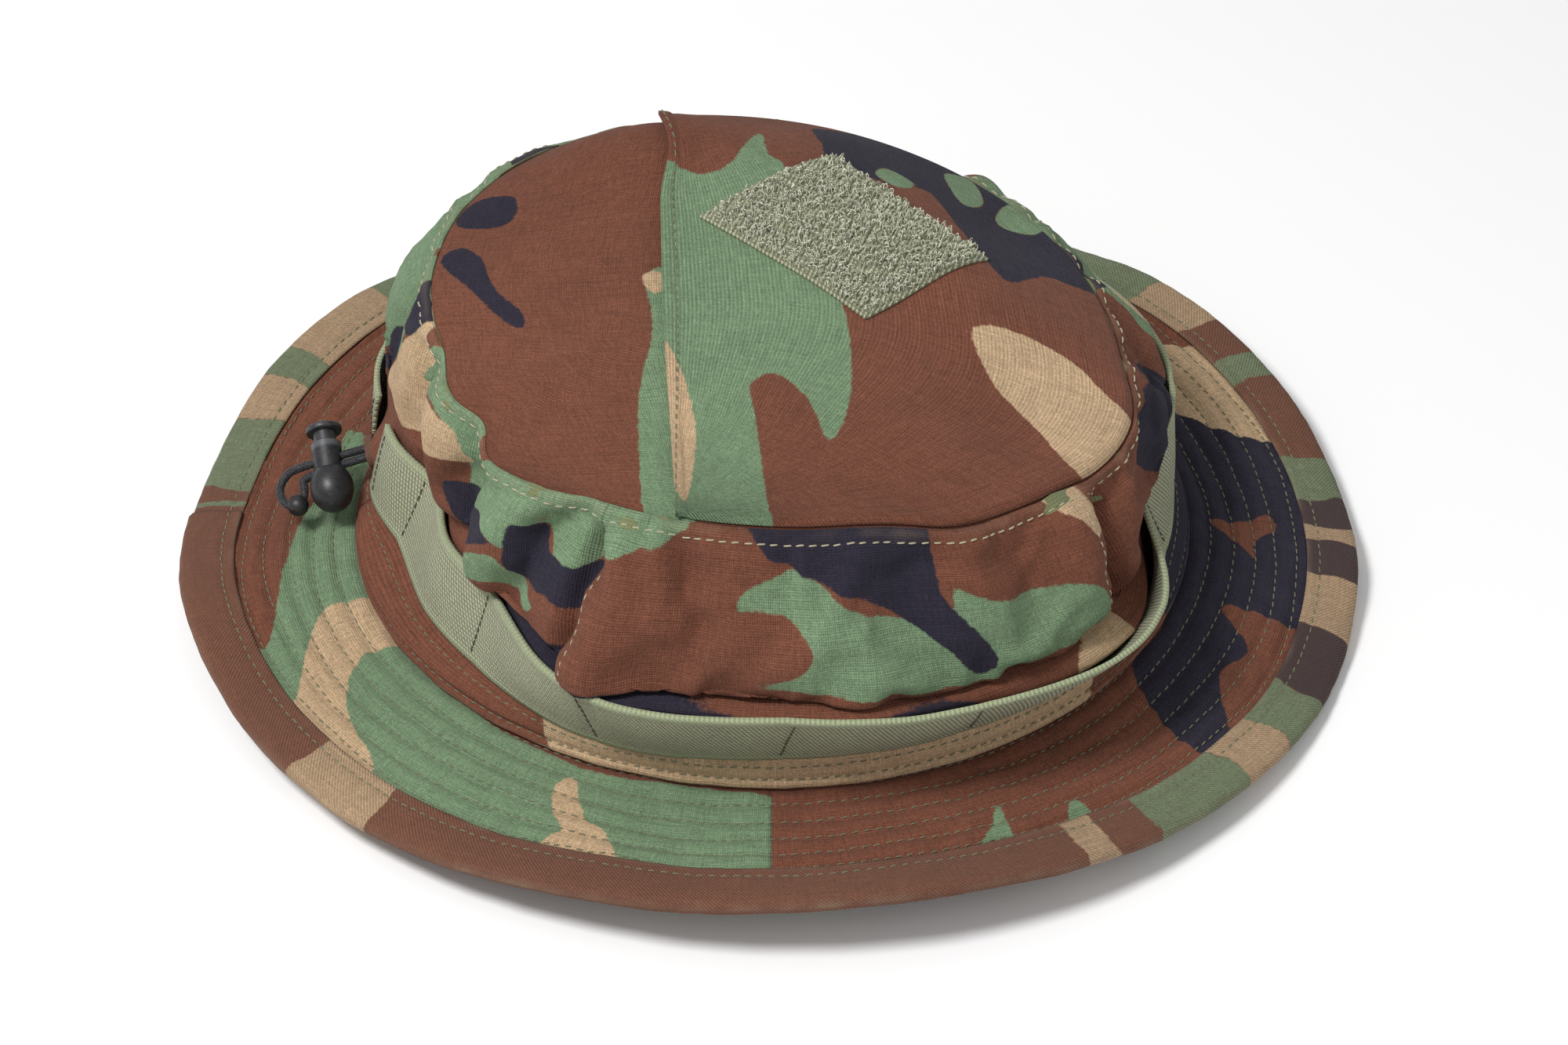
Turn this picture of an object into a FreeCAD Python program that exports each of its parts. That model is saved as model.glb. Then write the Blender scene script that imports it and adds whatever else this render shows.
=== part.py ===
import FreeCAD, Part

import math
import os

# A wide-brimmed field hat, worn size about 58 cm, in millimetres.
# +X is the front of the hat, +Y the wearer's left, +Z up. Z = 0 is the surface the brim rests on.
# Angles run from +X towards +Y, in degrees, so -90 is the wearer's right side and 180 the back.

# ---- driving dimensions -------------------------------------------------------------------------

BRIM_LENGTH = 303.0          # front to back, over the bound edge
BRIM_WIDTH = 270.0           # side to side, over the bound edge
SEAM_LENGTH = 210.0          # the seam where the crown meets the brim
SEAM_WIDTH = 184.0
SEAM_HEIGHT = 12.5           # underside of the brim at that seam
BULGE_LENGTH = 214.0         # the fullest part of the crown's side wall
BULGE_WIDTH = 193.0
BULGE_HEIGHT = 46.0
EDGE_LENGTH = 178.0          # the seam round the top of the crown
EDGE_WIDTH = 154.0
EDGE_HEIGHT = 86.0           # that seam's height over the middle of the hat
EDGE_SLOPE = -0.15           # the top leans down towards the front
TOP_DOME = 5.0               # rise of the top panel over its own edge

CLOTH = 0.9                  # one finished layer of ripstop cloth
GAP = 0.15                   # air between layers that touch
BRIM_CLEAR = 0.9             # from the base seam's oval to the brim's inner edge
REAR_DENT = 9.0              # how far the soft back of the crown falls in
REAR_DENT_ANGLE = 175.0
REAR_DENT_SPREAD = 18.0

RIM_RAISE_RIGHT = 9.0        # the brim's edge lifts off the surface on the right side
RIM_RAISE_LEFT = 4.0         # and a little at two places on the left side

SEAM_ANGLES = [-35.0, 35.0, 120.0, 240.0]   # joins between the front, left, rear and right wall panels
SEAM_SPLIT = 0.15            # half the angle left between two panels

BINDING_WIDTH = 14.5         # the folded tape round the brim's edge
BINDING_CLOTH = 0.75

BAND_WIDTH = 25.0            # woven elastic webbing
BAND_THICK = 1.2
BAND_START = -182.0          # its two ends stop either side of the cord's way out
BAND_STOP = 171.0
TACK_STEP = 24.0             # the webbing is tacked down this often, which makes loops
TACK_FIRST = -160.0
TACK_COUNT = 14
OPEN_LOOP_ANGLE = -148.0     # the loop that stands open
OPEN_LOOP_RISE = 9.0

HEM_TOP = 24.0               # top of the stitched strip over the base seam
SWEATBAND_TOP = 44.0
CHANNEL_DEPTH = 4.2          # room for the sizing cord behind the sweatband
CORD_HEIGHT = 31.0           # the sizing cord's height in that channel

POCKET_MOUTH_X = -27.0       # the free hemmed edge of the top's front panel
PATCH_CENTRE = (19.0, 16.0)
PATCH_LENGTH = 53.0
PATCH_WIDTH = 43.0
PATCH_THICK = 2.6
PATCH_TURN = -40.0

CORD_DIAMETER = 2.2
STRAND_GAP = 2.5             # between the centrelines of the cord's two strands in the lock
LOCK_ORIGIN = FreeCAD.Vector(-114.0, 8.0, 28.5)      # middle of the lock's cross hole
SLIDE_AXIS = FreeCAD.Vector(0.95, 0.05, 0.30)        # along the strands, towards the crown
PRESS_AXIS = FreeCAD.Vector(-0.165, 0.90, 0.37)      # along the lock, from its ball to its button
PLUNGER_TRAVEL = 3.0
BALL_HALF_LENGTH = 6.7
BALL_RADIUS = 5.6
BALL_OFFSET = -7.0
NECK_RADIUS = 3.9
NECK_TOP = 5.2
BORE_RADIUS = 2.95
BORE_BOTTOM = -11.8
STEM_RADIUS = 2.88
STEM_BOTTOM = -5.5
BUTTON_RADIUS = 4.7
BUTTON_THICK = 1.6
HOLE_SLACK = 0.35            # between a strand and the sides of the lock's cross hole
SPRING_RADIUS = 2.0
SPRING_WIRE = 0.5
SPRING_TURNS = 5
BEAD_RADIUS = 2.8

RING_POINTS = 72             # points that a closed outline is drawn through

SLIDE_AXIS.normalize()
PRESS_AXIS.normalize()


# ---- outlines -----------------------------------------------------------------------------------

def oval(length, width, degrees):
    """Distance from the middle to an ellipse in the given direction."""
    angle = math.radians(degrees)
    return 1.0 / math.hypot(math.cos(angle) / (length / 2), math.sin(angle) / (width / 2))


def bump(degrees, centre, spread):
    """A smooth hump, 1 at the centre angle and nearly 0 two spreads away."""
    away = (degrees - centre + 180.0) % 360.0 - 180.0
    return math.exp(-((away / spread) ** 2))


def between(low, high, share):
    return low + (high - low) * share


def edge_height(degrees):
    """Height of the crown's top seam: a plane that leans down to the front."""
    return EDGE_HEIGHT + EDGE_SLOPE * oval(EDGE_LENGTH, EDGE_WIDTH, degrees) * math.cos(math.radians(degrees))


def wall_radius(degrees, height):
    """The outside of the crown's side wall at a height."""
    dent = REAR_DENT * bump(degrees, REAR_DENT_ANGLE, REAR_DENT_SPREAD)
    if height <= BULGE_HEIGHT:
        share = (height - SEAM_HEIGHT) / (BULGE_HEIGHT - SEAM_HEIGHT)
        low = oval(SEAM_LENGTH, SEAM_WIDTH, degrees)
        high = oval(BULGE_LENGTH, BULGE_WIDTH, degrees) - dent
        return between(low, high, share)
    share = (height - BULGE_HEIGHT) / (edge_height(degrees) - BULGE_HEIGHT)
    low = oval(BULGE_LENGTH, BULGE_WIDTH, degrees) - dent
    return between(low, oval(EDGE_LENGTH, EDGE_WIDTH, degrees), share)


def rim_raise(degrees):
    """How far the brim's edge stands off the surface."""
    right = RIM_RAISE_RIGHT * bump(degrees, -90.0, 38.0)
    left = bump(degrees, 50.0, 22.0) + bump(degrees, 130.0, 22.0)
    return right + RIM_RAISE_LEFT * left


# ---- rails: each gives a radius and a height for every angle ----------------------------------------

def wall_rail(height, outwards):
    """A line round the side wall at a fixed height, stood off its outside."""
    return lambda degrees: (wall_radius(degrees, height) + outwards, height)


def wall_top_rail(outwards, down):
    """A line round the side wall just under its top seam."""
    return lambda degrees: (oval(EDGE_LENGTH, EDGE_WIDTH, degrees) + outwards, edge_height(degrees) - down)


def top_rail(share, lift):
    """A line round the crown's top, at a share of the way from its middle to its edge."""
    def rail(degrees):
        radius = share * oval(EDGE_LENGTH, EDGE_WIDTH, degrees)
        slope = EDGE_SLOPE * radius * math.cos(math.radians(degrees))
        return radius, EDGE_HEIGHT + slope + TOP_DOME * (1.0 - share ** 2) + lift
    return rail


def brim_rail(share, lift):
    """A line round the brim, from its inner seam (0) to its outer edge (1)."""
    def rail(degrees):
        inner = oval(SEAM_LENGTH, SEAM_WIDTH, degrees) + BRIM_CLEAR
        outer = oval(BRIM_LENGTH, BRIM_WIDTH, degrees) - BINDING_CLOTH - GAP
        under = SEAM_HEIGHT * (1.0 - share) + rim_raise(degrees) * share ** 2
        return between(inner, outer, share), under + BINDING_CLOTH + GAP + lift
    return rail


def band_rail(height, outwards):
    """A line round the webbing, which stands out at its open loop."""
    def rail(degrees):
        away = (degrees - OPEN_LOOP_ANGLE + 180.0) % 360.0 - 180.0
        rise = 0.0
        if abs(away) < TACK_STEP / 2:
            rise = OPEN_LOOP_RISE * math.cos(math.pi * away / TACK_STEP) ** 2
        seat = wall_radius(degrees, min(height, BULGE_HEIGHT))
        return seat + 2 * GAP + rise + outwards, height
    return rail


# ---- solids from rails ---------------------------------------------------------------------------

def rail_points(rail, angles):
    points = []
    for degrees in angles:
        radius, height = rail(degrees)
        turn = math.radians(degrees)
        points.append(FreeCAD.Vector(radius * math.cos(turn), radius * math.sin(turn), height))
    return points


def solid_from_faces(faces):
    skin = Part.makeCompound(faces)
    skin.sewShape()
    solid = Part.makeSolid(skin.Shells[0])
    if solid.Volume < 0:
        solid.reverse()
    return solid


def ring_edge(rail):
    curve = Part.BSplineCurve()
    step = 360.0 / RING_POINTS
    curve.interpolate(Points=rail_points(rail, [i * step for i in range(RING_POINTS)]), PeriodicFlag=True)
    return curve.toShape()


def ring(rails):
    """A closed loop of cloth: rails go once round its cross-section."""
    edges = [ring_edge(rail) for rail in rails]
    pairs = zip(edges, edges[1:] + edges[:1])
    return solid_from_faces([Part.makeRuledSurface(first, second) for first, second in pairs])


def strip(rails, start, stop):
    """Part of a loop, from one angle to another, with flat ends."""
    steps = max(4, round((stop - start) * RING_POINTS / 360.0))
    angles = [between(start, stop, i / steps) for i in range(steps + 1)]
    rows = [rail_points(rail, angles) for rail in rails]
    edges = []
    for row in rows:
        curve = Part.BSplineCurve()
        curve.interpolate(Points=row)
        edges.append(curve.toShape())
    faces = [Part.makeRuledSurface(first, second) for first, second in zip(edges, edges[1:] + edges[:1])]
    for end in (0, -1):
        corners = [row[end] for row in rows]
        faces.append(Part.Face(Part.makePolygon(corners + corners[:1])))
    return solid_from_faces(faces)


def disc(shares, lift, thick):
    """A closed domed sheet over the crown's top."""
    lower = [ring_edge(top_rail(share, lift)) for share in shares]
    upper = [ring_edge(top_rail(share, lift + thick)) for share in shares]
    faces = [Part.makeRuledSurface(lower[0], upper[0])]
    for edges in (lower, upper):
        faces += [Part.makeRuledSurface(first, second) for first, second in zip(edges, edges[1:])]
        faces.append(Part.Face(Part.Wire(edges[-1])))
    return solid_from_faces(faces)


def in_front_of(solid, x):
    """What is left of a solid on the +X side of a plane."""
    reach = BRIM_LENGTH
    block = Part.makeBox(reach, 2 * reach, 2 * reach, FreeCAD.Vector(x, -reach, -reach))
    return solid.common(block).Solids[0]


# ---- the crown -----------------------------------------------------------------------------------

TOP_SHARES = [0.995, 0.75, 0.5, 0.25, 0.06]


def crown_top_panel():
    return disc(TOP_SHARES, GAP, CLOTH)


def crown_pocket_panel():
    return in_front_of(disc(TOP_SHARES, 2 * GAP + CLOTH, CLOTH), POCKET_MOUTH_X)


def side_wall(start, stop):
    heights = [SEAM_HEIGHT, BULGE_HEIGHT]
    outer = [wall_rail(height, 0.0) for height in heights] + [wall_top_rail(0.0, 0.0)]
    inner = [wall_rail(height, -CLOTH) for height in heights] + [wall_top_rail(-CLOTH, 0.0)]
    return strip(outer + inner[::-1], start + SEAM_SPLIT, stop - SEAM_SPLIT)


def crown_edge_tape():
    """The bound seam allowance inside the crown's top edge."""
    skin = CLOTH + GAP
    rails = [wall_top_rail(-skin, 0.5), wall_top_rail(-skin, 8.0)]
    rails += [wall_top_rail(-skin - 0.6, 8.0), wall_top_rail(-skin - 0.6, 0.5)]
    return ring(rails)


def crown_hem_strip():
    """The twice-stitched strip that covers the base seam, under the webbing."""
    bottom = SEAM_HEIGHT + 3 * CLOTH + 0.9 + 4 * GAP
    rails = [wall_rail(bottom, GAP), wall_rail(HEM_TOP, GAP)]
    rails += [wall_rail(HEM_TOP, GAP + CLOTH), wall_rail(bottom, GAP + CLOTH)]
    return ring(rails)


def sweatband():
    """The inside band: it hangs from the base seam and leaves a channel behind it."""
    face = CLOTH + CHANNEL_DEPTH
    outer = [wall_rail(SEAM_HEIGHT, -face), wall_rail(CORD_HEIGHT + 3.0, -face)]
    outer.append(wall_rail(SWEATBAND_TOP, -CLOTH - GAP))
    inner = [wall_rail(SWEATBAND_TOP, -2 * CLOTH - GAP), wall_rail(CORD_HEIGHT + 3.0, -face - CLOTH)]
    inner.append(wall_rail(SEAM_HEIGHT, -face - CLOTH))
    return ring(outer + inner)


def sizing_cord():
    """The elastic cord in its channel round the head, from one side of the way out to the other."""
    middle = -CLOTH - CHANNEL_DEPTH / 2
    half = CORD_DIAMETER / 2
    rails = []
    for side in range(6):
        turn = math.radians(60.0 * side)
        rails.append(wall_rail(CORD_HEIGHT + half * math.sin(turn), middle + half * math.cos(turn)))
    return strip(rails, -178.0, 169.0)


# ---- the webbing ---------------------------------------------------------------------------------

BAND_BOTTOM = HEM_TOP + 1.0


def band_heights():
    return [BAND_BOTTOM, BULGE_HEIGHT, BAND_BOTTOM + BAND_WIDTH]


def webbing_band():
    back = [band_rail(height, 0.0) for height in band_heights()]
    face = [band_rail(height, BAND_THICK) for height in band_heights()]
    return strip(back + face[::-1], BAND_START, BAND_STOP)


def tack_angles():
    return [BAND_START + 2.0] + [TACK_FIRST + i * TACK_STEP for i in range(TACK_COUNT)] + [BAND_STOP - 2.0]


def webbing_tacks():
    """Rows of thread that hold the webbing to the crown between its loops."""
    low = BAND_BOTTOM + 2.0
    high = BULGE_HEIGHT - 1.0
    rails = [wall_rail(low, 0.02), wall_rail(high, 0.02)]
    rails += [wall_rail(high, 2 * GAP - 0.02), wall_rail(low, 2 * GAP - 0.02)]
    bars = [strip(rails, angle - 0.4, angle + 0.4) for angle in tack_angles()]
    return Part.makeCompound(bars)


# ---- the brim ------------------------------------------------------------------------------------

BRIM_SHARES = [0.0, 0.33, 0.66, 1.0]
BRIM_SIDE_SPLIT = 0.1


def brim_layer(number):
    """The section of one of the brim's three layers, counted from the underside."""
    lift = number * (CLOTH + GAP)
    lower = [brim_rail(share, lift) for share in BRIM_SHARES]
    upper = [brim_rail(share, lift + CLOTH) for share in BRIM_SHARES]
    return lower + upper[::-1]


def brim_front(number):
    return strip(brim_layer(number), -90.0 + BRIM_SIDE_SPLIT, 90.0 - BRIM_SIDE_SPLIT)


def brim_rear(number):
    return strip(brim_layer(number), 90.0 + BRIM_SIDE_SPLIT, 270.0 - BRIM_SIDE_SPLIT)


def brim_binding():
    """The tape folded over the brim's edge, above and below."""
    stack = 3 * CLOTH + 2 * GAP
    brim_run = (BRIM_LENGTH - SEAM_LENGTH) / 2
    inner_share = 1.0 - BINDING_WIDTH / brim_run
    outside = 1.0 + (GAP + BINDING_CLOTH) / brim_run
    snug = 1.0 + GAP / brim_run
    under = -GAP - BINDING_CLOTH
    over = stack + GAP + BINDING_CLOTH
    rails = [brim_rail(inner_share, under), brim_rail(outside, under)]
    rails += [brim_rail(outside, over), brim_rail(inner_share, over)]
    rails += [brim_rail(inner_share, stack + GAP), brim_rail(snug, stack + GAP)]
    rails += [brim_rail(snug, -GAP), brim_rail(inner_share, -GAP)]
    return ring(rails)


# ---- the loop patch ------------------------------------------------------------------------------

def patch_height(x):
    """Underside of the patch: just over the highest cloth beneath it."""
    return EDGE_HEIGHT + EDGE_SLOPE * x + TOP_DOME + 2 * CLOTH + 3 * GAP


def loop_patch():
    slab = Part.makeBox(PATCH_LENGTH, PATCH_WIDTH, PATCH_THICK)
    slab.translate(FreeCAD.Vector(-PATCH_LENGTH / 2, -PATCH_WIDTH / 2, 0))
    slab = slab.makeFillet(4 * CLOTH, [slab.Edges[i] for i in (0, 2, 4, 6)])
    slab.rotate(FreeCAD.Vector(), FreeCAD.Vector(0, 0, 1), PATCH_TURN)
    slab.rotate(FreeCAD.Vector(), FreeCAD.Vector(0, 1, 0), -math.degrees(math.atan(EDGE_SLOPE)))
    slab.translate(FreeCAD.Vector(PATCH_CENTRE[0], PATCH_CENTRE[1], patch_height(PATCH_CENTRE[0])))
    return slab


# ---- the cord lock: along is the way the strands run, up is from its ball to its button --------------

def lock_point(along, up):
    return LOCK_ORIGIN + SLIDE_AXIS * along + PRESS_AXIS * up


def lock_cylinder(radius, low, high):
    return Part.makeCylinder(radius, high - low, lock_point(0, low), PRESS_AXIS)


def oblong(low, high, half, along, depth):
    """A bar with round ends, lying along the strands: from low to high up the lock, half its width each side."""
    side = SLIDE_AXIS.cross(PRESS_AXIS) * half
    tip = PRESS_AXIS * half
    bottom = lock_point(along, low + half)
    top = lock_point(along, high - half)
    outline = [
        Part.Arc(bottom - side, bottom - tip, bottom + side),
        Part.LineSegment(bottom + side, top + side),
        Part.Arc(top + side, top + tip, top - side),
        Part.LineSegment(top - side, bottom - side),
    ]
    return Part.Face(Part.Wire([edge.toShape() for edge in outline])).extrude(SLIDE_AXIS * depth)


def cross_hole(low, high, reach):
    """The slot across the lock for the two strands."""
    return oblong(low, high, STRAND_HALF, -reach, 2 * reach)


STRAND_HALF = CORD_DIAMETER / 2 + HOLE_SLACK
STRAND_REACH = STRAND_GAP / 2 + CORD_DIAMETER / 2 + HOLE_SLACK


def lock_body():
    ball = Part.makeSphere(BALL_RADIUS, FreeCAD.Vector(), FreeCAD.Vector(0, 0, 1))
    stretch = FreeCAD.Matrix()
    stretch.A33 = BALL_HALF_LENGTH / BALL_RADIUS
    ball = ball.transformGeometry(stretch)
    ball.Placement = FreeCAD.Placement(lock_point(0, BALL_OFFSET),
                                       FreeCAD.Rotation(FreeCAD.Vector(0, 0, 1), PRESS_AXIS))
    body = ball.fuse(lock_cylinder(NECK_RADIUS, BALL_OFFSET, NECK_TOP))
    body = body.cut(lock_cylinder(BORE_RADIUS, BORE_BOTTOM, NECK_TOP + 1.0))
    return body.cut(cross_hole(-STRAND_REACH, STRAND_REACH, BALL_RADIUS * 2)).Solids[0]


def lock_plunger():
    head = NECK_TOP + PLUNGER_TRAVEL + 0.3
    stem = lock_cylinder(STEM_RADIUS, STEM_BOTTOM, head + BUTTON_THICK / 2)
    stem = stem.cut(cross_hole(-STRAND_REACH, STRAND_REACH + PLUNGER_TRAVEL, STEM_RADIUS * 2))
    button = lock_cylinder(BUTTON_RADIUS, head, head + BUTTON_THICK)
    button = button.makeFillet(BUTTON_THICK / 3, [edge for edge in button.Edges if len(edge.Vertexes) == 1])
    return stem.fuse(button).Solids[0]


def lock_spring():
    """A compression spring between the bottom of the bore and the plunger, as a stack of rings."""
    low = BORE_BOTTOM + SPRING_WIRE / 2 + 0.1
    high = STEM_BOTTOM - SPRING_WIRE / 2 - 0.1
    pitch = (high - low) / SPRING_TURNS
    helix = Part.makeHelix(pitch, high - low, SPRING_RADIUS)
    start = FreeCAD.Vector(SPRING_RADIUS, 0, 0)
    wire = Part.Wire(Part.makeCircle(SPRING_WIRE / 2, start, FreeCAD.Vector(0, 1, 0)))
    coil = Part.Wire(helix.Edges).makePipeShell([wire], True, True)
    coil.Placement = FreeCAD.Placement(lock_point(0, low),
                                       FreeCAD.Rotation(FreeCAD.Vector(0, 0, 1), PRESS_AXIS))
    return coil


# ---- the free part of the elastic cord -----------------------------------------------------------

def cord_route():
    """Out of the crown, through the lock, round the loop and its bead, and back into the crown."""
    half = STRAND_GAP / 2
    marks = [(13.0, half), (-8.2, half), (-12.4, -0.6), (-14.4, -4.6), (-12.6, -9.0),
             (-8.6, -9.6), (-7.2, -6.0), (-7.6, -half), (13.0, -half)]
    return [lock_point(along, up) for along, up in marks]


def cord_tube(points, diameter):
    """Straight runs joined by tangent arcs, each as large as its two runs allow."""
    edges = []
    at = points[0]
    length = 0.0
    for before, corner, after in zip(points, points[1:], points[2:]):
        back = before - corner
        ahead = after - corner
        shorter = min(back.Length, ahead.Length)
        turn = math.pi - back.getAngle(ahead)
        cut = 0.45 * shorter
        radius = cut / math.tan(turn / 2)
        print("cord arc: turn %.0f degrees, radius %.1f mm" % (math.degrees(turn), radius))
        back.normalize()
        ahead.normalize()
        first = corner + back * cut
        last = corner + ahead * cut
        inward = (back + ahead).normalize()
        middle = corner + inward * (math.hypot(radius, cut) - radius)
        edges.append(Part.LineSegment(at, first).toShape())
        edges.append(Part.Arc(first, middle, last).toShape())
        length += (first - at).Length + radius * turn
        at = last
    edges.append(Part.LineSegment(at, points[-1]).toShape())
    length += (points[-1] - at).Length
    section = Part.Wire(Part.makeCircle(diameter / 2, points[0], points[1] - points[0]))
    tube = Part.Wire(edges).makePipeShell([section], True, False)
    wanted = math.pi * (diameter / 2) ** 2 * length
    print("cord length %.1f mm, volume %.2f of %.2f mm3" % (length, tube.Volume, wanted))
    return tube


def draw_cord():
    return cord_tube(cord_route(), CORD_DIAMETER)


def cord_end_bead():
    """The little ball that keeps the loop's end from slipping back through the lock."""
    middle = lock_point(-9.6, -9.4)
    ball = Part.makeSphere(BEAD_RADIUS, middle)
    return ball.cut(cord_tube(cord_route(), CORD_DIAMETER + 0.04)).Solids[0]


EYELET_ALONG = 12.0          # how far the crown's buttonhole is from the lock, along the strands
EYELET_DEPTH = 2.2
EYELET_RIM = 1.6


def cord_eyelet():
    """The bound buttonhole in the crown's back that the two strands come out of."""
    reach = STRAND_REACH + EYELET_RIM
    plate = oblong(-reach, reach, STRAND_HALF + EYELET_RIM, EYELET_ALONG - EYELET_DEPTH / 2, EYELET_DEPTH)
    hole = oblong(-STRAND_REACH, STRAND_REACH, STRAND_HALF, EYELET_ALONG - EYELET_DEPTH, 2 * EYELET_DEPTH)
    return plate.cut(hole).Solids[0]


def eyelet_opening():
    """The room that the buttonhole takes in the wall."""
    reach = STRAND_REACH + EYELET_RIM + GAP
    return oblong(-reach, reach, STRAND_HALF + EYELET_RIM + GAP, EYELET_ALONG - 8.0, 20.0)


# ---- writing the parts ---------------------------------------------------------------------------

def all_parts():
    front, left, rear, right = SEAM_ANGLES
    return {
        "crown_top_panel": crown_top_panel(),
        "crown_pocket_panel": crown_pocket_panel(),
        "side_wall_front": side_wall(front, left),
        "side_wall_left": side_wall(left, rear),
        "side_wall_rear": side_wall(rear, right).cut(eyelet_opening()).Solids[0],
        "side_wall_right": side_wall(right, front + 360.0),
        "crown_edge_tape": crown_edge_tape(),
        "crown_hem_strip": crown_hem_strip(),
        "webbing_band": webbing_band(),
        "webbing_tacks": webbing_tacks(),
        "sweatband": sweatband(),
        "sizing_cord": sizing_cord(),
        "cord_eyelet": cord_eyelet(),
        "brim_under_front": brim_front(0),
        "brim_under_rear": brim_rear(0),
        "brim_interlining_front": brim_front(1),
        "brim_interlining_rear": brim_rear(1),
        "brim_top_front": brim_front(2),
        "brim_top_rear": brim_rear(2),
        "brim_binding": brim_binding(),
        "loop_patch": loop_patch(),
        "draw_cord": draw_cord(),
        "cord_end_bead": cord_end_bead(),
        "lock_body": lock_body(),
        "lock_plunger": lock_plunger(),
        "lock_spring": lock_spring(),
    }


os.makedirs("parts", exist_ok=True)
for node, shape in all_parts().items():
    print(node, "valid" if shape.isValid() else "NOT VALID", "%.1f mm3" % shape.Volume, len(shape.Solids))
    shape.exportStep("parts/%s.step" % node)
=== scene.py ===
import math
import random

import bpy
import numpy as np
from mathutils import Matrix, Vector, noise


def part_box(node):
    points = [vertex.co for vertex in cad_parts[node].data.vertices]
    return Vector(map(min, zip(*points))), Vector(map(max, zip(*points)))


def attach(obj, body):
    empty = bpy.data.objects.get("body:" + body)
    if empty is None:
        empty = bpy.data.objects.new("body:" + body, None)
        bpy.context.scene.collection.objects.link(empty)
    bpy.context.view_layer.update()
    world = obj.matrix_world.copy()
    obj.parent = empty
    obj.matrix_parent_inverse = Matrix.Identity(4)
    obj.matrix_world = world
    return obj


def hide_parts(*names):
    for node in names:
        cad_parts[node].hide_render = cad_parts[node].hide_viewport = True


# A soft field hat lying on its brim: its looks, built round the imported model. Every place below is
# in the hat's own millimetres, one 303rd of the bound brim's length, and turns into metres only when
# a mesh is made. +X is the hat's front, +Y the wearer's left. Angles run from +X towards +Y.

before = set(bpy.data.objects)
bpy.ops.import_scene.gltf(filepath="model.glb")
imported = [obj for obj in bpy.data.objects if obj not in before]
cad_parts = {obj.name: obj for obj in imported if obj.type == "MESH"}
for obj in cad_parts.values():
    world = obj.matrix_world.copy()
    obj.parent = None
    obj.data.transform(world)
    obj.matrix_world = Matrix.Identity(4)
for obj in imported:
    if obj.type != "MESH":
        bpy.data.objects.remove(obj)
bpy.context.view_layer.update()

BRIM_LOW, BRIM_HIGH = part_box("brim_binding")
MM = (BRIM_HIGH.x - BRIM_LOW.x) / 303.0
BRIM_HALF_LENGTH = 151.5
BRIM_HALF_WIDTH = (BRIM_HIGH.y - BRIM_LOW.y) / MM / 2
SEAM_HALF_LENGTH = 105.0         # the oval where the crown meets the brim
SEAM_HALF_WIDTH = 92.0
SEAM_Z = 15.6                    # top of the brim at that seam
STEPS_ROUND = 576                # columns of every mesh that goes once round the hat


# ---- smooth curves through marks ----

def smooth_through(knots, values, at):
    """Cubic pieces through values at knots, each with a slope taken from its two neighbours."""
    steps = np.diff(knots)[:, None]
    slopes = np.diff(values, axis=0) / steps
    tangents = np.concatenate([slopes[:1], slopes])
    tangents[1:-1] = (slopes[:-1] * steps[1:] + slopes[1:] * steps[:-1]) / (steps[1:] + steps[:-1])
    index = np.clip(np.searchsorted(knots, at, side="right") - 1, 0, len(knots) - 2)
    width = steps[index]
    t = (np.asarray(at) - knots[index])[:, None] / width
    first = (1 + 2 * t) * (1 - t) ** 2 * values[index] + t * (1 - t) ** 2 * width * tangents[index]
    return first + t ** 2 * (3 - 2 * t) * values[index + 1] + t ** 2 * (t - 1) * width * tangents[index + 1]


def round_curve(marks, degrees):
    """A smooth closed curve through (angle, value, ...) marks, read at an array of angles."""
    marks = sorted(marks, key=lambda mark: mark[0] % 360.0)
    knots = np.array([mark[0] % 360.0 for mark in marks])
    values = np.array([mark[1:] for mark in marks], float)
    knots = np.concatenate([knots[-2:] - 360.0, knots, knots[:2] + 360.0])
    values = np.concatenate([values[-2:], values, values[:2]])
    return smooth_through(knots, values, np.asarray(degrees) % 360.0)


def closed_outline(points, steps):
    """A smooth closed line through a few (x, y) points."""
    points = np.array(points, float)
    marks = [(i * 360.0 / len(points), *point) for i, point in enumerate(points)]
    return round_curve(marks, np.arange(len(points) * steps) * 360.0 / (len(points) * steps))


def thin_plate(marks):
    """A smooth height over (x, y, z) marks, as a function of x and y."""
    marks = np.array(marks, float)

    def kernel(dx, dy):
        square = dx ** 2 + dy ** 2 + 1e-9
        return square * np.log(square)

    n = len(marks)
    x, y = marks[:, 0] / 100.0, marks[:, 1] / 100.0
    system = np.zeros((n + 3, n + 3))
    system[:n, :n] = kernel(x[:, None] - x, y[:, None] - y) + np.eye(n) * 1e-3
    system[:n, n:] = np.stack([np.ones(n), x, y], 1)
    system[n:, :n] = system[:n, n:].T
    weights = np.linalg.solve(system, np.concatenate([marks[:, 2], np.zeros(3)]))

    def height(px, py):
        px, py = np.asarray(px) / 100.0, np.asarray(py) / 100.0
        bend = kernel(px[..., None] - x, py[..., None] - y) @ weights[:n]
        return bend + weights[n] + weights[n + 1] * px + weights[n + 2] * py

    return height


def bump(value, centre, spread):
    return np.exp(-(((np.asarray(value) - centre) / spread) ** 2))


def angle_bump(degrees, centre, spread):
    away = (np.asarray(degrees) - centre + 180.0) % 360.0 - 180.0
    return np.exp(-((away / spread) ** 2))


def step_up(value, low, high):
    """0 below low, 1 above high, and smooth between."""
    t = np.clip((np.asarray(value) - low) / (high - low), 0, 1)
    return t * t * (3 - 2 * t)


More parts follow.
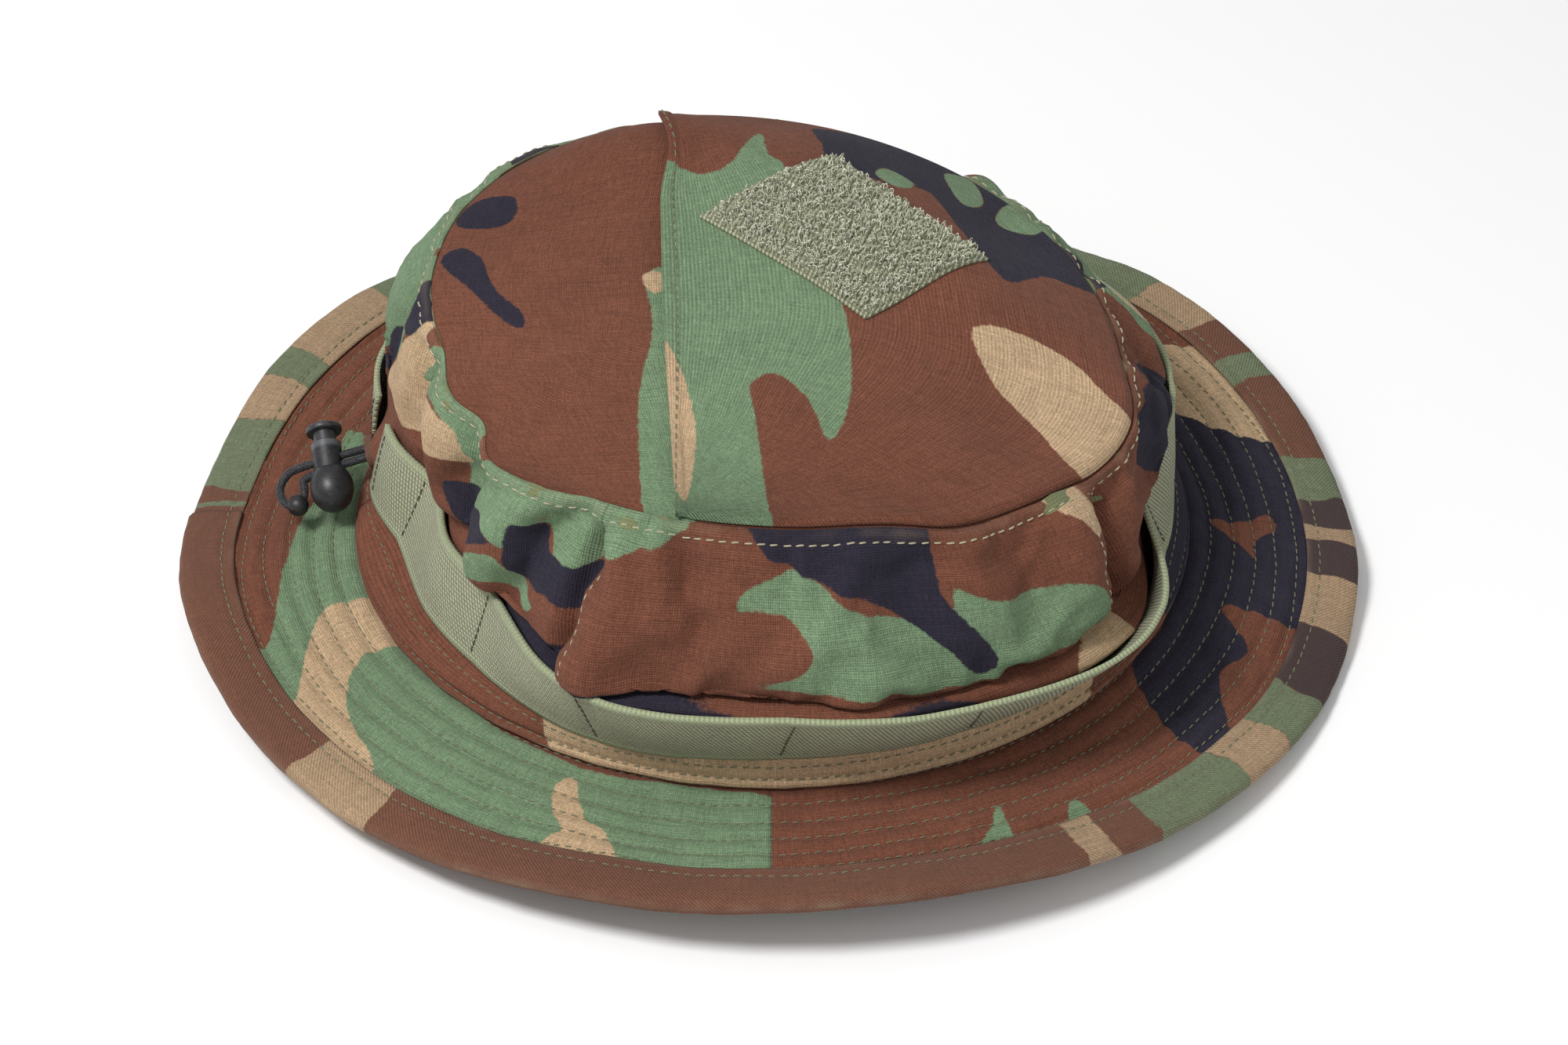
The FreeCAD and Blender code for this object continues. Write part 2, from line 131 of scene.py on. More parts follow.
def soft_noise(points, size, seed, stretch=(1, 1, 1)):
    """Smooth noise of about the given size in millimetres at each point."""
    shape = points.shape[:-1]
    flat = points.reshape(-1, 3) / (size * np.array(stretch))
    shift = Vector((seed * 17.3, seed * 5.1, seed * 9.7))
    return np.array([noise.noise(Vector(p) + shift) for p in flat]).reshape(shape)


# ---- the hat's lines, in its own millimetres ----

# Most of these marks began as points read off the hat's picture. A scratch program turned them into
# millimetres, and they were then rounded and adjusted. Marks for the unseen side are estimates. The same
# holds for POCKET_MOUTH and PATCH_CORNERS below.

# The seam round the crown's top: angle, distance from the middle, height.
TOP_EDGE = [
    (-1, 87.5, 72), (-15.5, 92, 72), (-29.7, 89.4, 73), (-36, 87, 75), (-46.5, 84.7, 78),
    (-57.8, 83.2, 81), (-68.6, 78.3, 84), (-87.8, 75, 85), (-109, 75, 85), (-122.8, 77.1, 85),
    (-136.3, 83, 85), (-144.7, 84, 85), (-149.6, 80.5, 87), (-156, 83.8, 89), (-168.8, 82.3, 91),
    (-176, 83.8, 93), (165.7, 84, 95), (147, 83, 93), (124, 80, 90), (97.5, 76.7, 86),
    (67, 78, 80), (42.6, 82.8, 74), (14, 85.6, 72),
]

# Where the slack wall folds out furthest over the webbing: angle, distance, height.
WALL_FOLD = [
    (-117.5, 100.9, 48), (-105.7, 96.2, 49), (-88, 97, 50), (-77.4, 98.4, 49), (-65.7, 97.9, 47),
    (-53.3, 98.6, 45), (-39.8, 101.5, 43), (-31.5, 100.6, 41), (-21.8, 95.5, 43), (-122, 97, 48),
    (-126, 93.5, 50), (-135, 92, 52), (-150, 86, 54), (-166, 86, 54), (-177, 91, 56), (165, 102, 58),
    (150, 101, 56), (120, 97, 52), (90, 95, 50), (60, 97, 50), (30, 100, 48), (0, 99, 50),
]

# The webbing's edges: angle on the seam's oval, then how far each edge stands off that oval and its height.
BAND_EDGES = [
    (-178, -3.5, 25.5, -10, 47), (-168, -8, 26, -18, 46), (-150, -6, 25.5, -13, 47),
    (-137, -4, 25, -10, 48), (-114, 1.2, 24, 8, 46.5), (-90, 0.5, 25, 9.5, 47.5), (-64, 0, 24, 13, 45),
    (-36, 0, 24, 12, 42), (-13, -3, 24, -10, 45), (10, -2, 24, -1, 48), (40, -1, 24, 3, 48),
    (80, 0, 24, 5, 48), (120, 0, 24, 4, 48), (150, 0, 24, 3, 48), (162, 0.5, 24, 1, 47.5),
    (172, -1, 24, -4, 46.5),
]

# The brim's edge: angle on its oval, height of the middle of its thickness, how far it is pushed out.
RIM = [
    (-178, 10, 0.5), (-170, 14, 1), (-163, 16, 1.2), (-152, 11, 0.5), (-145, 9.6, 0), (-132, 9.6, 0),
    (-122, 11.6, 0), (-114, 14, 0), (-106, 15.6, 0), (-98, 16.6, 0), (-91, 17.6, 0), (-76, 18.2, 0),
    (-68, 16.6, 0), (-59, 13.6, 0), (-50, 10.1, 0), (-38, 7.3, 0), (-26, 4, 0), (-18, 2.8, 0),
    (-9, 4.5, 0), (-3, 6, 0), (6, 4, 0), (15, 5.2, 0), (25, 8.6, 0), (33, 10.6, 0), (45, 12.4, 0),
    (60, 9.5, 0), (90, 3.5, 0), (115, 7.5, 0), (135, 12.6, 0), (140, 13.6, 0), (146, 13, 0),
    (153, 12, 0), (162, 7.5, 0), (173, 6, 0),
]

# The crown's top inside its seam: x, y, height.
TOP_MARKS = [
    (-67, 48, 95), (-47, 53, 98.5), (-28, 54, 101), (0, 55, 97.5), (16, 54, 94), (40, 50, 86),
    (58, 42, 78), (-70, 28, 95.5), (-44, 34, 97.5), (-23, 40, 100.5), (-18, 20, 98.5), (23, -14, 95),
    (54, 16, 88), (16, 40, 96.5), (-50, 0, 95), (-60, -30, 91), (-30, -40, 92), (0, -45, 92),
    (30, -45, 89), (55, -30, 83), (70, 0, 82), (0, 0, 97), (-20, -15, 96),
]


def seam_oval(t):
    """Points of the base seam's oval at an array of angles, in millimetres."""
    t = np.radians(t)
    return np.stack([SEAM_HALF_LENGTH * np.cos(t), SEAM_HALF_WIDTH * np.sin(t)], -1)


def polar(xy):
    return np.degrees(np.arctan2(xy[..., 1], xy[..., 0])), np.hypot(xy[..., 0], xy[..., 1])


def around(degrees, radius, height):
    """Points from an angle, a distance from the middle and a height."""
    turn = np.radians(degrees)
    return np.stack([radius * np.cos(turn), radius * np.sin(turn), height + 0 * radius], -1)


ROUND = np.arange(STEPS_ROUND) * 360.0 / STEPS_ROUND - 180.0     # angles on the seam's oval
POLAR, SEAM_RADIUS = polar(seam_oval(ROUND))                      # the same columns, as true angles


# ---- sheets: surfaces as grids of points ----

class Sheet:
    """Rows and columns of points in millimetres. Rows go from the brim's edge up to the crown's middle."""

    def __init__(self, points, closed=False):
        self.points = np.asarray(points, float)
        self.closed = closed

    def normals(self):
        across = np.gradient(self.points, axis=0)
        if self.closed:
            along = np.roll(self.points, -1, 1) - np.roll(self.points, 1, 1)
        else:
            along = np.gradient(self.points, axis=1)
        normal = np.cross(along, across)
        return normal / np.maximum(np.linalg.norm(normal, axis=-1, keepdims=True), 1e-9)

    def lifted(self, amount):
        """The same sheet moved along its normals, by one amount or one for every point."""
        amount = np.asarray(amount, float)
        if amount.ndim == 0:
            amount = np.full(self.points.shape[:2], float(amount))
        return Sheet(self.points + self.normals() * amount[..., None], self.closed)

    def at(self, rows, columns, grid=None):
        """Points, or another grid's values, at fractional rows and columns."""
        grid = self.points if grid is None else grid
        count = grid.shape[1]
        rows = np.clip(rows, 0, grid.shape[0] - 1.001)
        columns = np.asarray(columns) % count if self.closed else np.clip(columns, 0, count - 1.001)
        row, column = np.floor(rows).astype(int), np.floor(columns).astype(int) % count
        up, side = (rows - row)[:, None], (columns - np.floor(columns))[:, None]
        beside = (column + 1) % count
        low = grid[row, column] * (1 - side) + grid[row, beside] * side
        high = grid[row + 1, column] * (1 - side) + grid[row + 1, beside] * side
        return low * (1 - up) + high * up

    def lengths(self):
        """How far each point is along its row and up its column, for the weave."""
        along = np.linalg.norm(np.diff(self.points, axis=1), axis=-1).mean(0)
        up = np.linalg.norm(np.diff(self.points, axis=0), axis=-1).mean(1)
        u = np.concatenate([[0], np.cumsum(along)])
        v = np.concatenate([[0], np.cumsum(up)])
        return np.broadcast_to(u, self.points.shape[:2]), np.broadcast_to(v[:, None], self.points.shape[:2])


def grid_faces(rows, columns, closed, offset=0, flip=False):
    r = np.arange(rows - 1)[:, None]
    c = np.arange(columns if closed else columns - 1)[None, :]
    beside = (c + 1) % columns
    corners = [r * columns + c, r * columns + beside, (r + 1) * columns + beside, (r + 1) * columns + c]
    faces = np.stack([corner + offset for corner in corners], -1).reshape(-1, 4)
    return faces[:, ::-1] if flip else faces


def rim_faces(line, offset, closed, flip):
    """Faces between a line of the outer skin and the same line of the inner one."""
    following = np.roll(line, -1) if closed else line[1:]
    line = line if closed else line[:-1]
    faces = np.stack([line, line + offset, following + offset, following], -1)
    return faces[:, ::-1] if flip else faces


def make_object(name, vertices, faces, material):
    mesh = bpy.data.meshes.new(name)
    mesh.from_pydata((np.asarray(vertices) * MM).tolist(), [], [list(map(int, face)) for face in faces])
    mesh.polygons.foreach_set("use_smooth", [True] * len(mesh.polygons))
    mesh.update()
    obj = bpy.data.objects.new(name, mesh)
    bpy.context.scene.collection.objects.link(obj)
    obj.data.materials.append(material)
    return obj


def give(obj, name, values):
    """A number for every vertex that the material reads."""
    layer = obj.data.attributes.new(name, "FLOAT", "POINT")
    layer.data.foreach_set("value", np.asarray(values, np.float32).ravel())


def give_both(obj, name, values):
    """The same numbers for the outer and the inner face of a piece of cloth."""
    give(obj, name, np.concatenate([values.ravel(), values.ravel()]))


def cloth(name, sheet, thick, material, replaces=()):
    """A closed piece of cloth: the sheet is its outer face, and its inner face lies thick inside it."""
    rows, columns = sheet.points.shape[:2]
    thick = np.broadcast_to(np.asarray(thick, float), (rows, columns))
    inner = sheet.points - sheet.normals() * thick[..., None]
    count = rows * columns
    index = np.arange(count).reshape(rows, columns)
    faces = [
        grid_faces(rows, columns, sheet.closed),
        grid_faces(rows, columns, sheet.closed, count, flip=True),
        rim_faces(index[0], count, sheet.closed, flip=False),
        rim_faces(index[-1], count, sheet.closed, flip=True),
    ]
    if not sheet.closed:
        faces.append(rim_faces(index[:, 0], count, False, flip=True))
        faces.append(rim_faces(index[:, -1], count, False, flip=False))
    vertices = np.concatenate([sheet.points.reshape(-1, 3), inner.reshape(-1, 3)])
    obj = make_object(name, vertices, np.concatenate(faces), material)
    u, v = sheet.lengths()
    give_both(obj, "weave_u", u)
    give_both(obj, "weave_v", v)
    give(obj, "inside", np.concatenate([np.zeros(count), np.ones(count)]))
    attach(obj, "hat")
    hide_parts(*replaces)
    return obj


def tubes(name, lines, radius, material, sides=6, replaces=()):
    """Many short round threads in one piece: each line is an array of points, tapered at its two ends."""
    vertices, faces = [], []
    start = 0
    for line in lines:
        line = np.asarray(line, float)
        forward = np.gradient(line, axis=0)
        forward /= np.maximum(np.linalg.norm(forward, axis=1, keepdims=True), 1e-9)
        aside = np.cross(forward, np.array([0.31, 0.17, 0.94]))
        aside /= np.maximum(np.linalg.norm(aside, axis=1, keepdims=True), 1e-9)
        upward = np.cross(aside, forward)
        taper = np.ones(len(line))
        taper[[0, -1]] = 0.35
        for i in range(sides):
            turn = 2 * math.pi * i / sides
            ring = math.cos(turn) * aside + math.sin(turn) * upward
            vertices.append(line + ring * (radius * taper)[:, None])
        rings = np.arange(len(line) * sides).reshape(sides, len(line)) + start
        for i in range(sides):
            near, far = rings[i], rings[(i + 1) % sides]
            faces += np.stack([near[:-1], far[:-1], far[1:], near[1:]], -1).tolist()
        faces.append(rings[::-1, 0].tolist())
        faces.append(rings[:, -1].tolist())
        start += rings.size
    obj = make_object(name, np.concatenate(vertices), faces, material)
    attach(obj, "hat")
    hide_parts(*replaces)
    return obj


def stitch_lines(sheet, rows, columns, pitch=2.9, fill=0.72, sink=0.05, wander=0.0, seed=1):
    """Short lines of thread along a path on a sheet, given as arrays of rows and columns."""
    path = sheet.at(rows, columns)
    normal = sheet.at(rows, columns, sheet.normals())
    run = np.concatenate([[0], np.cumsum(np.linalg.norm(np.diff(path, axis=0), axis=1))])
    picker = random.Random(seed)
    lines = []
    for i in range(int(run[-1] / pitch)):
        begin = (i + 0.14 + 0.12 * picker.random()) * pitch
        places = begin + np.array([0, 0.2, 0.5, 0.8, 1]) * pitch * (fill + 0.1 * (picker.random() - 0.5))
        height = np.array([-0.25, 0.1, 0.2, 0.1, -0.25]) - sink
        points = np.stack([np.interp(places, run, path[:, k]) for k in range(3)], -1)
        upward = np.stack([np.interp(places, run, normal[:, k]) for k in range(3)], -1)
        aside = np.cross(upward, np.gradient(points, axis=0))
        aside /= np.maximum(np.linalg.norm(aside, axis=1, keepdims=True), 1e-9)
        drift = wander * (picker.random() - 0.5) + np.linspace(-0.12, 0.12, 5)
        lines.append(points + upward * height[:, None] + aside * drift[:, None])
    return lines


# The cord lock: its middle, the way it slides along the cord, and its own long axis.
LOCK_MIDDLE = Vector((-114.0, 8.0, 28.5))
SLIDE_AXIS = Vector((0.95, 0.05, 0.30)).normalized()
PRESS_AXIS = Vector((-0.165, 0.90, 0.37)).normalized()


# ---- materials ----

def colour(code):
    """A linear colour with alpha from a six-digit display colour."""
    parts = [int(code[i:i + 2], 16) / 255 for i in (0, 2, 4)]
    return tuple(p / 12.92 if p <= 0.04045 else ((p + 0.055) / 1.055) ** 2.4 for p in parts) + (1.0,)


class Shader:
    """A short way to write one material's nodes."""

    def __init__(self, name, roughness, sheen=0.0, specular=0.5):
        self.material = bpy.data.materials.new(name)
        self.material.use_nodes = True
        self.tree = self.material.node_tree
        self.surface = self.tree.nodes["Principled BSDF"]
        self.surface.inputs["Roughness"].default_value = roughness
        self.surface.inputs["Sheen Weight"].default_value = sheen
        self.surface.inputs["Specular IOR Level"].default_value = specular
        self.place = self.node("ShaderNodeTexCoord").outputs["Object"]

    def node(self, kind, **settings):
        made = self.tree.nodes.new(kind)
        for key, value in settings.items():
            setattr(made, key, value)
        return made

    def feed(self, socket, value):
        if isinstance(value, bpy.types.NodeSocket):
            self.tree.links.new(value, socket)
        else:
            socket.default_value = value

    def math(self, operation, first, second=0.0):
        made = self.node("ShaderNodeMath", operation=operation)
        self.feed(made.inputs[0], first)
        self.feed(made.inputs[1], second)
        return made.outputs[0]

    def plus(self, first, second):
        return self.math("ADD", first, second)

    def times(self, first, second):
        return self.math("MULTIPLY", first, second)

    def number(self, name):
        return self.node("ShaderNodeAttribute", attribute_name=name).outputs["Fac"]

    def spread(self, value, low, high, to_low=0.0, to_high=1.0):
        made = self.node("ShaderNodeMapRange", interpolation_type="SMOOTHSTEP")
        for socket, given in zip(made.inputs, (value, low, high, to_low, to_high)):
            self.feed(socket, given)
        return made.outputs[0]

    def noise(self, size_mm, detail=2.0, roughness=0.5, place=None, stretch=(1, 1, 1)):
        mapping = self.node("ShaderNodeMapping")
        self.feed(mapping.inputs["Vector"], self.place if place is None else place)
        mapping.inputs["Scale"].default_value = tuple(1 / (MM * size_mm * s) for s in stretch)
        made = self.node("ShaderNodeTexNoise")
        self.feed(made.inputs["Vector"], mapping.outputs[0])
        made.inputs["Scale"].default_value = 1.0
        made.inputs["Detail"].default_value = detail
        made.inputs["Roughness"].default_value = roughness
        return made.outputs["Fac"]

    def vector(self, x, y, z=0.0):
        made = self.node("ShaderNodeCombineXYZ")
        for socket, value in zip(made.inputs, (x, y, z)):
            self.feed(socket, value)
        return made.outputs[0]

    def mix(self, share, first, second):
        made = self.node("ShaderNodeMix", data_type="RGBA")
        self.feed(made.inputs["Factor"], share)
        self.feed(made.inputs["A"], first)
        self.feed(made.inputs["B"], second)
        return made.outputs["Result"]

    def shade(self, base, factor):
        """A colour made lighter or darker by a number."""
        made = self.node("ShaderNodeVectorMath", operation="SCALE")
        self.feed(made.inputs[0], base[:3] if isinstance(base, tuple) else base)
        self.feed(made.inputs["Scale"], factor)
        return made.outputs[0]

    def finish(self, base, height, depth_mm):
        self.feed(self.surface.inputs["Base Color"], base)
        made = self.node("ShaderNodeBump")
        made.inputs["Strength"].default_value = 1.0
        made.inputs["Distance"].default_value = depth_mm * MM
        self.feed(made.inputs["Height"], height)
        self.feed(self.surface.inputs["Normal"], made.outputs[0])
        return self.material


def ridges(shader, value, pitch_mm):
    turn = shader.times(value, 2 * math.pi / pitch_mm)
    return shader.times(shader.plus(shader.math("SINE", turn), 1.0), 0.5)


def plain_weave(shader, u, v, pitch_mm):
    """Threads over and under each other, with a little unevenness."""
    over = ridges(shader, u, pitch_mm)
    under = ridges(shader, v, pitch_mm * 1.15)
    weave = shader.math("MAXIMUM", over, under)
    uneven = shader.noise(0.8, detail=3.0)
    return shader.plus(weave, shader.times(uneven, 0.9))


def on_cloth(shader, u, v):
    """The place on the flat cloth, in metres."""
    return shader.vector(shader.times(u, MM), shader.times(v, MM))


def slubs(shader, u, v):
    """Thicker threads running both ways through the cloth: 0 almost everywhere, towards 1 on a slub."""
    place = on_cloth(shader, u, v)
    along = shader.noise(0.45, detail=1.0, place=place, stretch=(34, 1, 1))
    across = shader.noise(0.45, detail=1.0, place=place, stretch=(1, 22, 1))
    both = shader.math("MAXIMUM", along, shader.math("SUBTRACT", across, 0.03))
    return shader.spread(both, 0.62, 0.8)


GREEN, BROWN, TAN, BLACK = colour("6e8466"), colour("6f4535"), colour("b69b7b"), colour("2b2834")


def camo_cloth(name, twill=False):
    """Woodland print on worn cotton: the edges of each colour come from distances held by the vertices."""
    shader = Shader(name, roughness=0.95, sheen=0.03, specular=0.15)
    u, v = shader.number("weave_u"), shader.number("weave_v")
    bleed = shader.times(shader.math("SUBTRACT", shader.noise(1.6, detail=3.0), 0.5), 1.3)
    base = BROWN
    for print_name, ink in (("green", GREEN), ("tan", TAN), ("black", BLACK)):
        reach = shader.plus(shader.number(print_name), bleed)
        base = shader.mix(shader.spread(reach, -0.3, 0.3), base, ink)
    fade = shader.spread(shader.noise(38.0, detail=3.0), 0.3, 0.7, 0.93, 1.08)
    slub = slubs(shader, u, v)
    grain = shader.spread(shader.noise(0.55, detail=2.0), 0.3, 0.7, 0.84, 1.14)
    base = shader.shade(base, shader.times(fade, grain))
    base = shader.shade(base, shader.spread(slub, 0.0, 1.0, 1.0, 1.3))
    place = on_cloth(shader, u, v)
    for stretch in ((16, 1, 1), (1, 12, 1)):
        threads = shader.noise(0.6, detail=2.0, roughness=0.7, place=place, stretch=stretch)
        base = shader.shade(base, shader.spread(threads, 0.3, 0.7, 0.88, 1.1))
    base = shader.mix(shader.times(shader.number("wear"), 0.4), base, colour("a8937c"))
    base = shader.shade(base, shader.spread(shader.number("inside"), 0.2, 0.8, 1.0, 0.82))
    if twill:
        height = ridges(shader, shader.plus(u, v), 1.0)
        height = shader.plus(height, shader.times(shader.noise(0.8), 0.6))
        base = shader.mix(0.36, base, colour("665043"))
        base = shader.shade(base, shader.spread(height, 0.2, 1.2, 0.8, 1.12))
    else:
        height = plain_weave(shader, u, v, 0.55)
        base = shader.shade(base, shader.spread(height, 0.35, 1.55, 0.84, 1.12))
        height = shader.plus(height, shader.times(slub, 1.2))
    return shader.finish(base, height, depth_mm=0.16)


def webbing():
    shader = Shader("olive webbing", roughness=0.85, sheen=0.1, specular=0.3)
    u, v = shader.number("weave_u"), shader.number("weave_v")
    lean = shader.plus(u, shader.times(v, 0.5))
    cords = ridges(shader, v, 1.15)
    height = shader.times(ridges(shader, lean, 1.15), shader.spread(cords, 0.0, 0.8, 0.35, 1.0))
    height = shader.plus(height, shader.times(shader.noise(0.7), 0.5))
    base = shader.mix(shader.spread(height, 0.1, 1.1), colour("6a6d53"), colour("b9ba9c"))
    base = shader.shade(base, shader.spread(shader.noise(26.0), 0.3, 0.7, 0.94, 1.06))
    base = shader.mix(shader.number("bead"), base, colour("a2ad88"))
    return shader.finish(base, height, depth_mm=0.45)


def thread(name, code):
    shader = Shader(name, roughness=0.8, sheen=0.1, specular=0.3)
    twist = shader.noise(0.35, detail=1.0)
    base = shader.shade(colour(code), shader.spread(twist, 0.3, 0.7, 0.75, 1.2))
    return shader.finish(base, twist, depth_mm=0.1)


def plain_tape(name, code):
    shader = Shader(name, roughness=0.9, sheen=0.1, specular=0.25)
    u, v = shader.number("weave_u"), shader.number("weave_v")
    height = plain_weave(shader, u, v, 0.8)
    base = shader.shade(colour(code), shader.spread(height, 0.3, 1.6, 0.82, 1.12))
    base = shader.shade(base, shader.spread(shader.noise(20.0), 0.3, 0.7, 0.92, 1.08))
    return shader.finish(base, height, depth_mm=0.15)


def loop_pile():
    shader = Shader("loop pile", roughness=0.95, sheen=0.5, specular=0.15)
    speck = shader.noise(1.1, detail=3.0)
    base = shader.mix(shader.spread(speck, 0.35, 0.65), colour("8f9378"), colour("dcdcc6"))
    return shader.finish(base, shader.noise(0.4), depth_mm=0.1)


def braided_elastic():
    """Black braid with a few pale threads scattered through it."""
    shader = Shader("braided elastic", roughness=0.6, sheen=0.15, specular=0.4)
    wale = shader.noise(0.5, detail=1.0)
    pale = shader.spread(shader.noise(0.34, detail=0.0), 0.6, 0.72)
    base = shader.mix(shader.times(pale, 0.3), colour("18181b"), colour("6d7078"))
    return shader.finish(base, wale, depth_mm=0.3)


def moulded(name, code, mottle, roughness, neck_highlight=None):
    """Satin plastic; with a second colour given, the part of the lock above its ball is painted paler and
    greyer: a painted highlight.
    """
    shader = Shader(name, roughness=roughness, specular=0.5)
    cloud = shader.noise(2.4, detail=4.0, roughness=0.65)
    speck = shader.spread(shader.noise(0.5, detail=3.0), 0.55, 0.75)
    base = shader.shade(colour(code), shader.spread(cloud, 0.3, 0.7, 1.0 - mottle, 1.0 + mottle))
    if neck_highlight:
        up = shader.node("ShaderNodeVectorMath", operation="DOT_PRODUCT")
        shader.feed(up.inputs[0], shader.place)
        shader.feed(up.inputs[1], PRESS_AXIS)
        middle = LOCK_MIDDLE.dot(PRESS_AXIS)
        height = shader.math("DIVIDE", up.outputs["Value"], MM)
        # Painted highlight: above its ball the lock gets a paler grey, standing in for light on its upper
        # part.
        base = shader.mix(shader.spread(height, middle + 3.0, middle + 4.2), base, colour(neck_highlight))
    base = shader.mix(shader.times(speck, 0.12), base, colour("8c8c8c"))
    uneven = shader.spread(cloud, 0.3, 0.7, roughness - 0.06, roughness + 0.1)
    shader.feed(shader.surface.inputs["Roughness"], uneven)
    return shader.finish(base, shader.noise(0.35, detail=3.0), depth_mm=0.03)


def spring_wire():
    shader = Shader("spring wire", roughness=0.3)
    shader.surface.inputs["Metallic"].default_value = 1.0
    drawn = shader.noise(0.3, detail=2.0, stretch=(1, 1, 0.2))
    base = shader.shade(colour("a9a9a6"), shader.spread(drawn, 0.3, 0.7, 0.85, 1.1))
    return shader.finish(base, drawn, depth_mm=0.02)


def studio_floor():
    shader = Shader("pale floor", roughness=0.95, specular=0.1)
    shader.feed(shader.surface.inputs["Base Color"], colour("f4f4f4"))
    return shader.material


CAMO = camo_cloth("woodland ripstop")
CAMO_TWILL = camo_cloth("woodland twill tape", twill=True)
WEBBING = webbing()
THREAD = thread("olive thread", "6f7058")
PALE_THREAD = thread("pale thread", "a8a086")
DARK_THREAD = thread("dark thread", "4a4c38")
BUTTONHOLE_THREAD = thread("brown thread", "5c4033")
LINING = plain_tape("inner tape", "6d7250")
PILE = loop_pile()
ELASTIC = braided_elastic()
BLACK_PLASTIC = moulded("black plastic", "1e1e21", 0.15, 0.42)
# The paler part of this lock above its ball is a painted highlight.
LOCK_PLASTIC = moulded("lock plastic", "202023", 0.15, 0.42, neck_highlight="4d5053")
GREY_PLASTIC = moulded("grey plastic", "333336", 0.3, 0.4)
STEEL = spring_wire()


# ---- the camera, the light and the floor ----

CAMERA_RISE = math.radians(44.0)
CAMERA_REACH = 1200.0
LENS_MM, SENSOR_MM = 106.92, 36.0
SKY_LIGHT = 0.52
LOOK_AT = Vector((3.0, 0.0, 15.0))


def add_camera():
    data = bpy.data.cameras.new("camera")
    data.lens = LENS_MM
    data.sensor_width = SENSOR_MM
    camera = bpy.data.objects.new("camera", data)
    bpy.context.scene.collection.objects.link(camera)
    back = Vector((0.0, -math.cos(CAMERA_RISE), math.sin(CAMERA_RISE)))
    camera.location = (LOOK_AT + back * CAMERA_REACH) * MM
    camera.rotation_mode = "QUATERNION"
    camera.rotation_quaternion = (-back).to_track_quat("-Z", "Y")
    bpy.context.scene.camera = camera


def add_light(name, place, size, power):
    data = bpy.data.lights.new(name, "AREA")
    data.shape = "DISK"
    data.size = size
    data.energy = power
    light = bpy.data.objects.new(name, data)
    light.location = place
    light.rotation_mode = "QUATERNION"
    light.rotation_quaternion = (-Vector(place)).to_track_quat("-Z", "Y")
    bpy.context.scene.collection.objects.link(light)


def add_studio():
    world = bpy.data.worlds.new("studio")
    world.use_nodes = True
    world.node_tree.nodes["Background"].inputs["Color"].default_value = (1.0, 1.0, 1.0, 1.0)
    world.node_tree.nodes["Background"].inputs["Strength"].default_value = SKY_LIGHT
    bpy.context.scene.world = world
    add_light("key", (-0.55, -0.35, 1.15), 0.35, 13.5)
    add_light("fill", (0.9, -0.7, 0.8), 0.9, 1.5)
    bpy.ops.mesh.primitive_plane_add(size=12.0, location=(0, 0, -0.0002))
    floor = bpy.context.active_object
    floor.name = "floor"
    floor.data.materials.append(studio_floor())
    bpy.context.scene.view_settings.view_transform = "Standard"


add_camera()
add_studio()


# ---- the cord and its lock ----

CORD_DIAMETER = 2.2
STRAND_HALF_GAP = 1.25


# Out of the crown, through the lock, round the loop and its bead, and back: along the strands, up the lock.
CORD_ROUTE = [
    (13.0, STRAND_HALF_GAP), (-8.2, STRAND_HALF_GAP), (-12.4, -0.6), (-14.4, -4.6), (-12.6, -9.0),
    (-8.6, -9.6), (-7.2, -6.0), (-7.6, -STRAND_HALF_GAP), (13.0, -STRAND_HALF_GAP),
]


def lock_point(along, up):
    return (LOCK_MIDDLE + SLIDE_AXIS * along + PRESS_AXIS * up) * MM


def draw_cord():
    curve = bpy.data.curves.new("draw_cord_braid", "CURVE")
    curve.dimensions = "3D"
    curve.bevel_depth = CORD_DIAMETER / 2 * MM
    curve.bevel_resolution = 5
    curve.resolution_u = 24
    spline = curve.splines.new("NURBS")
    spline.points.add(len(CORD_ROUTE) - 1)
    for point, mark in zip(spline.points, CORD_ROUTE):
        point.co = (*lock_point(*mark), 1.0)
    spline.order_u = 3
    spline.use_endpoint_u = True
    curve.materials.append(ELASTIC)
    cord = bpy.data.objects.new("draw_cord_braid", curve)
    bpy.context.scene.collection.objects.link(cord)
    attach(cord, "hat")
    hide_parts("draw_cord")


def dress_cad_nodes():
    """The lock's own pieces stay as they were designed, each in its moulded or metal finish."""
    finishes = {"cord_end_bead": BLACK_PLASTIC, "lock_body": LOCK_PLASTIC, "lock_plunger": GREY_PLASTIC,
                "lock_spring": STEEL, "cord_eyelet": BUTTONHOLE_THREAD}
    for node, finish in finishes.items():
        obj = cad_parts[node]
        obj.data.materials.clear()
        obj.data.materials.append(finish)


draw_cord()
dress_cad_nodes()


# ---- the shape of the brim ----

BRIM_ROWS = 66
BRIM_THICK = 2.7
BINDING_WIDTH = 11.5
BINDING_STAND = 0.95             # how far the binding's outer face stands off the brim
BINDING_REACH = BRIM_THICK / 2 + BINDING_STAND
QUILT_ROWS = [0.05, 0.228, 0.406, 0.584, 0.762, 0.94]     # as shares of the way to the binding
QUILT_STEP = QUILT_ROWS[1] - QUILT_ROWS[0]


def rim_line():
    t = np.radians(ROUND)
    height, push = round_curve(RIM, ROUND).T
    push = push - BINDING_REACH
    outer = np.stack([(BRIM_HALF_LENGTH + push) * np.cos(t), (BRIM_HALF_WIDTH + push) * np.sin(t)], -1)
    return outer, height


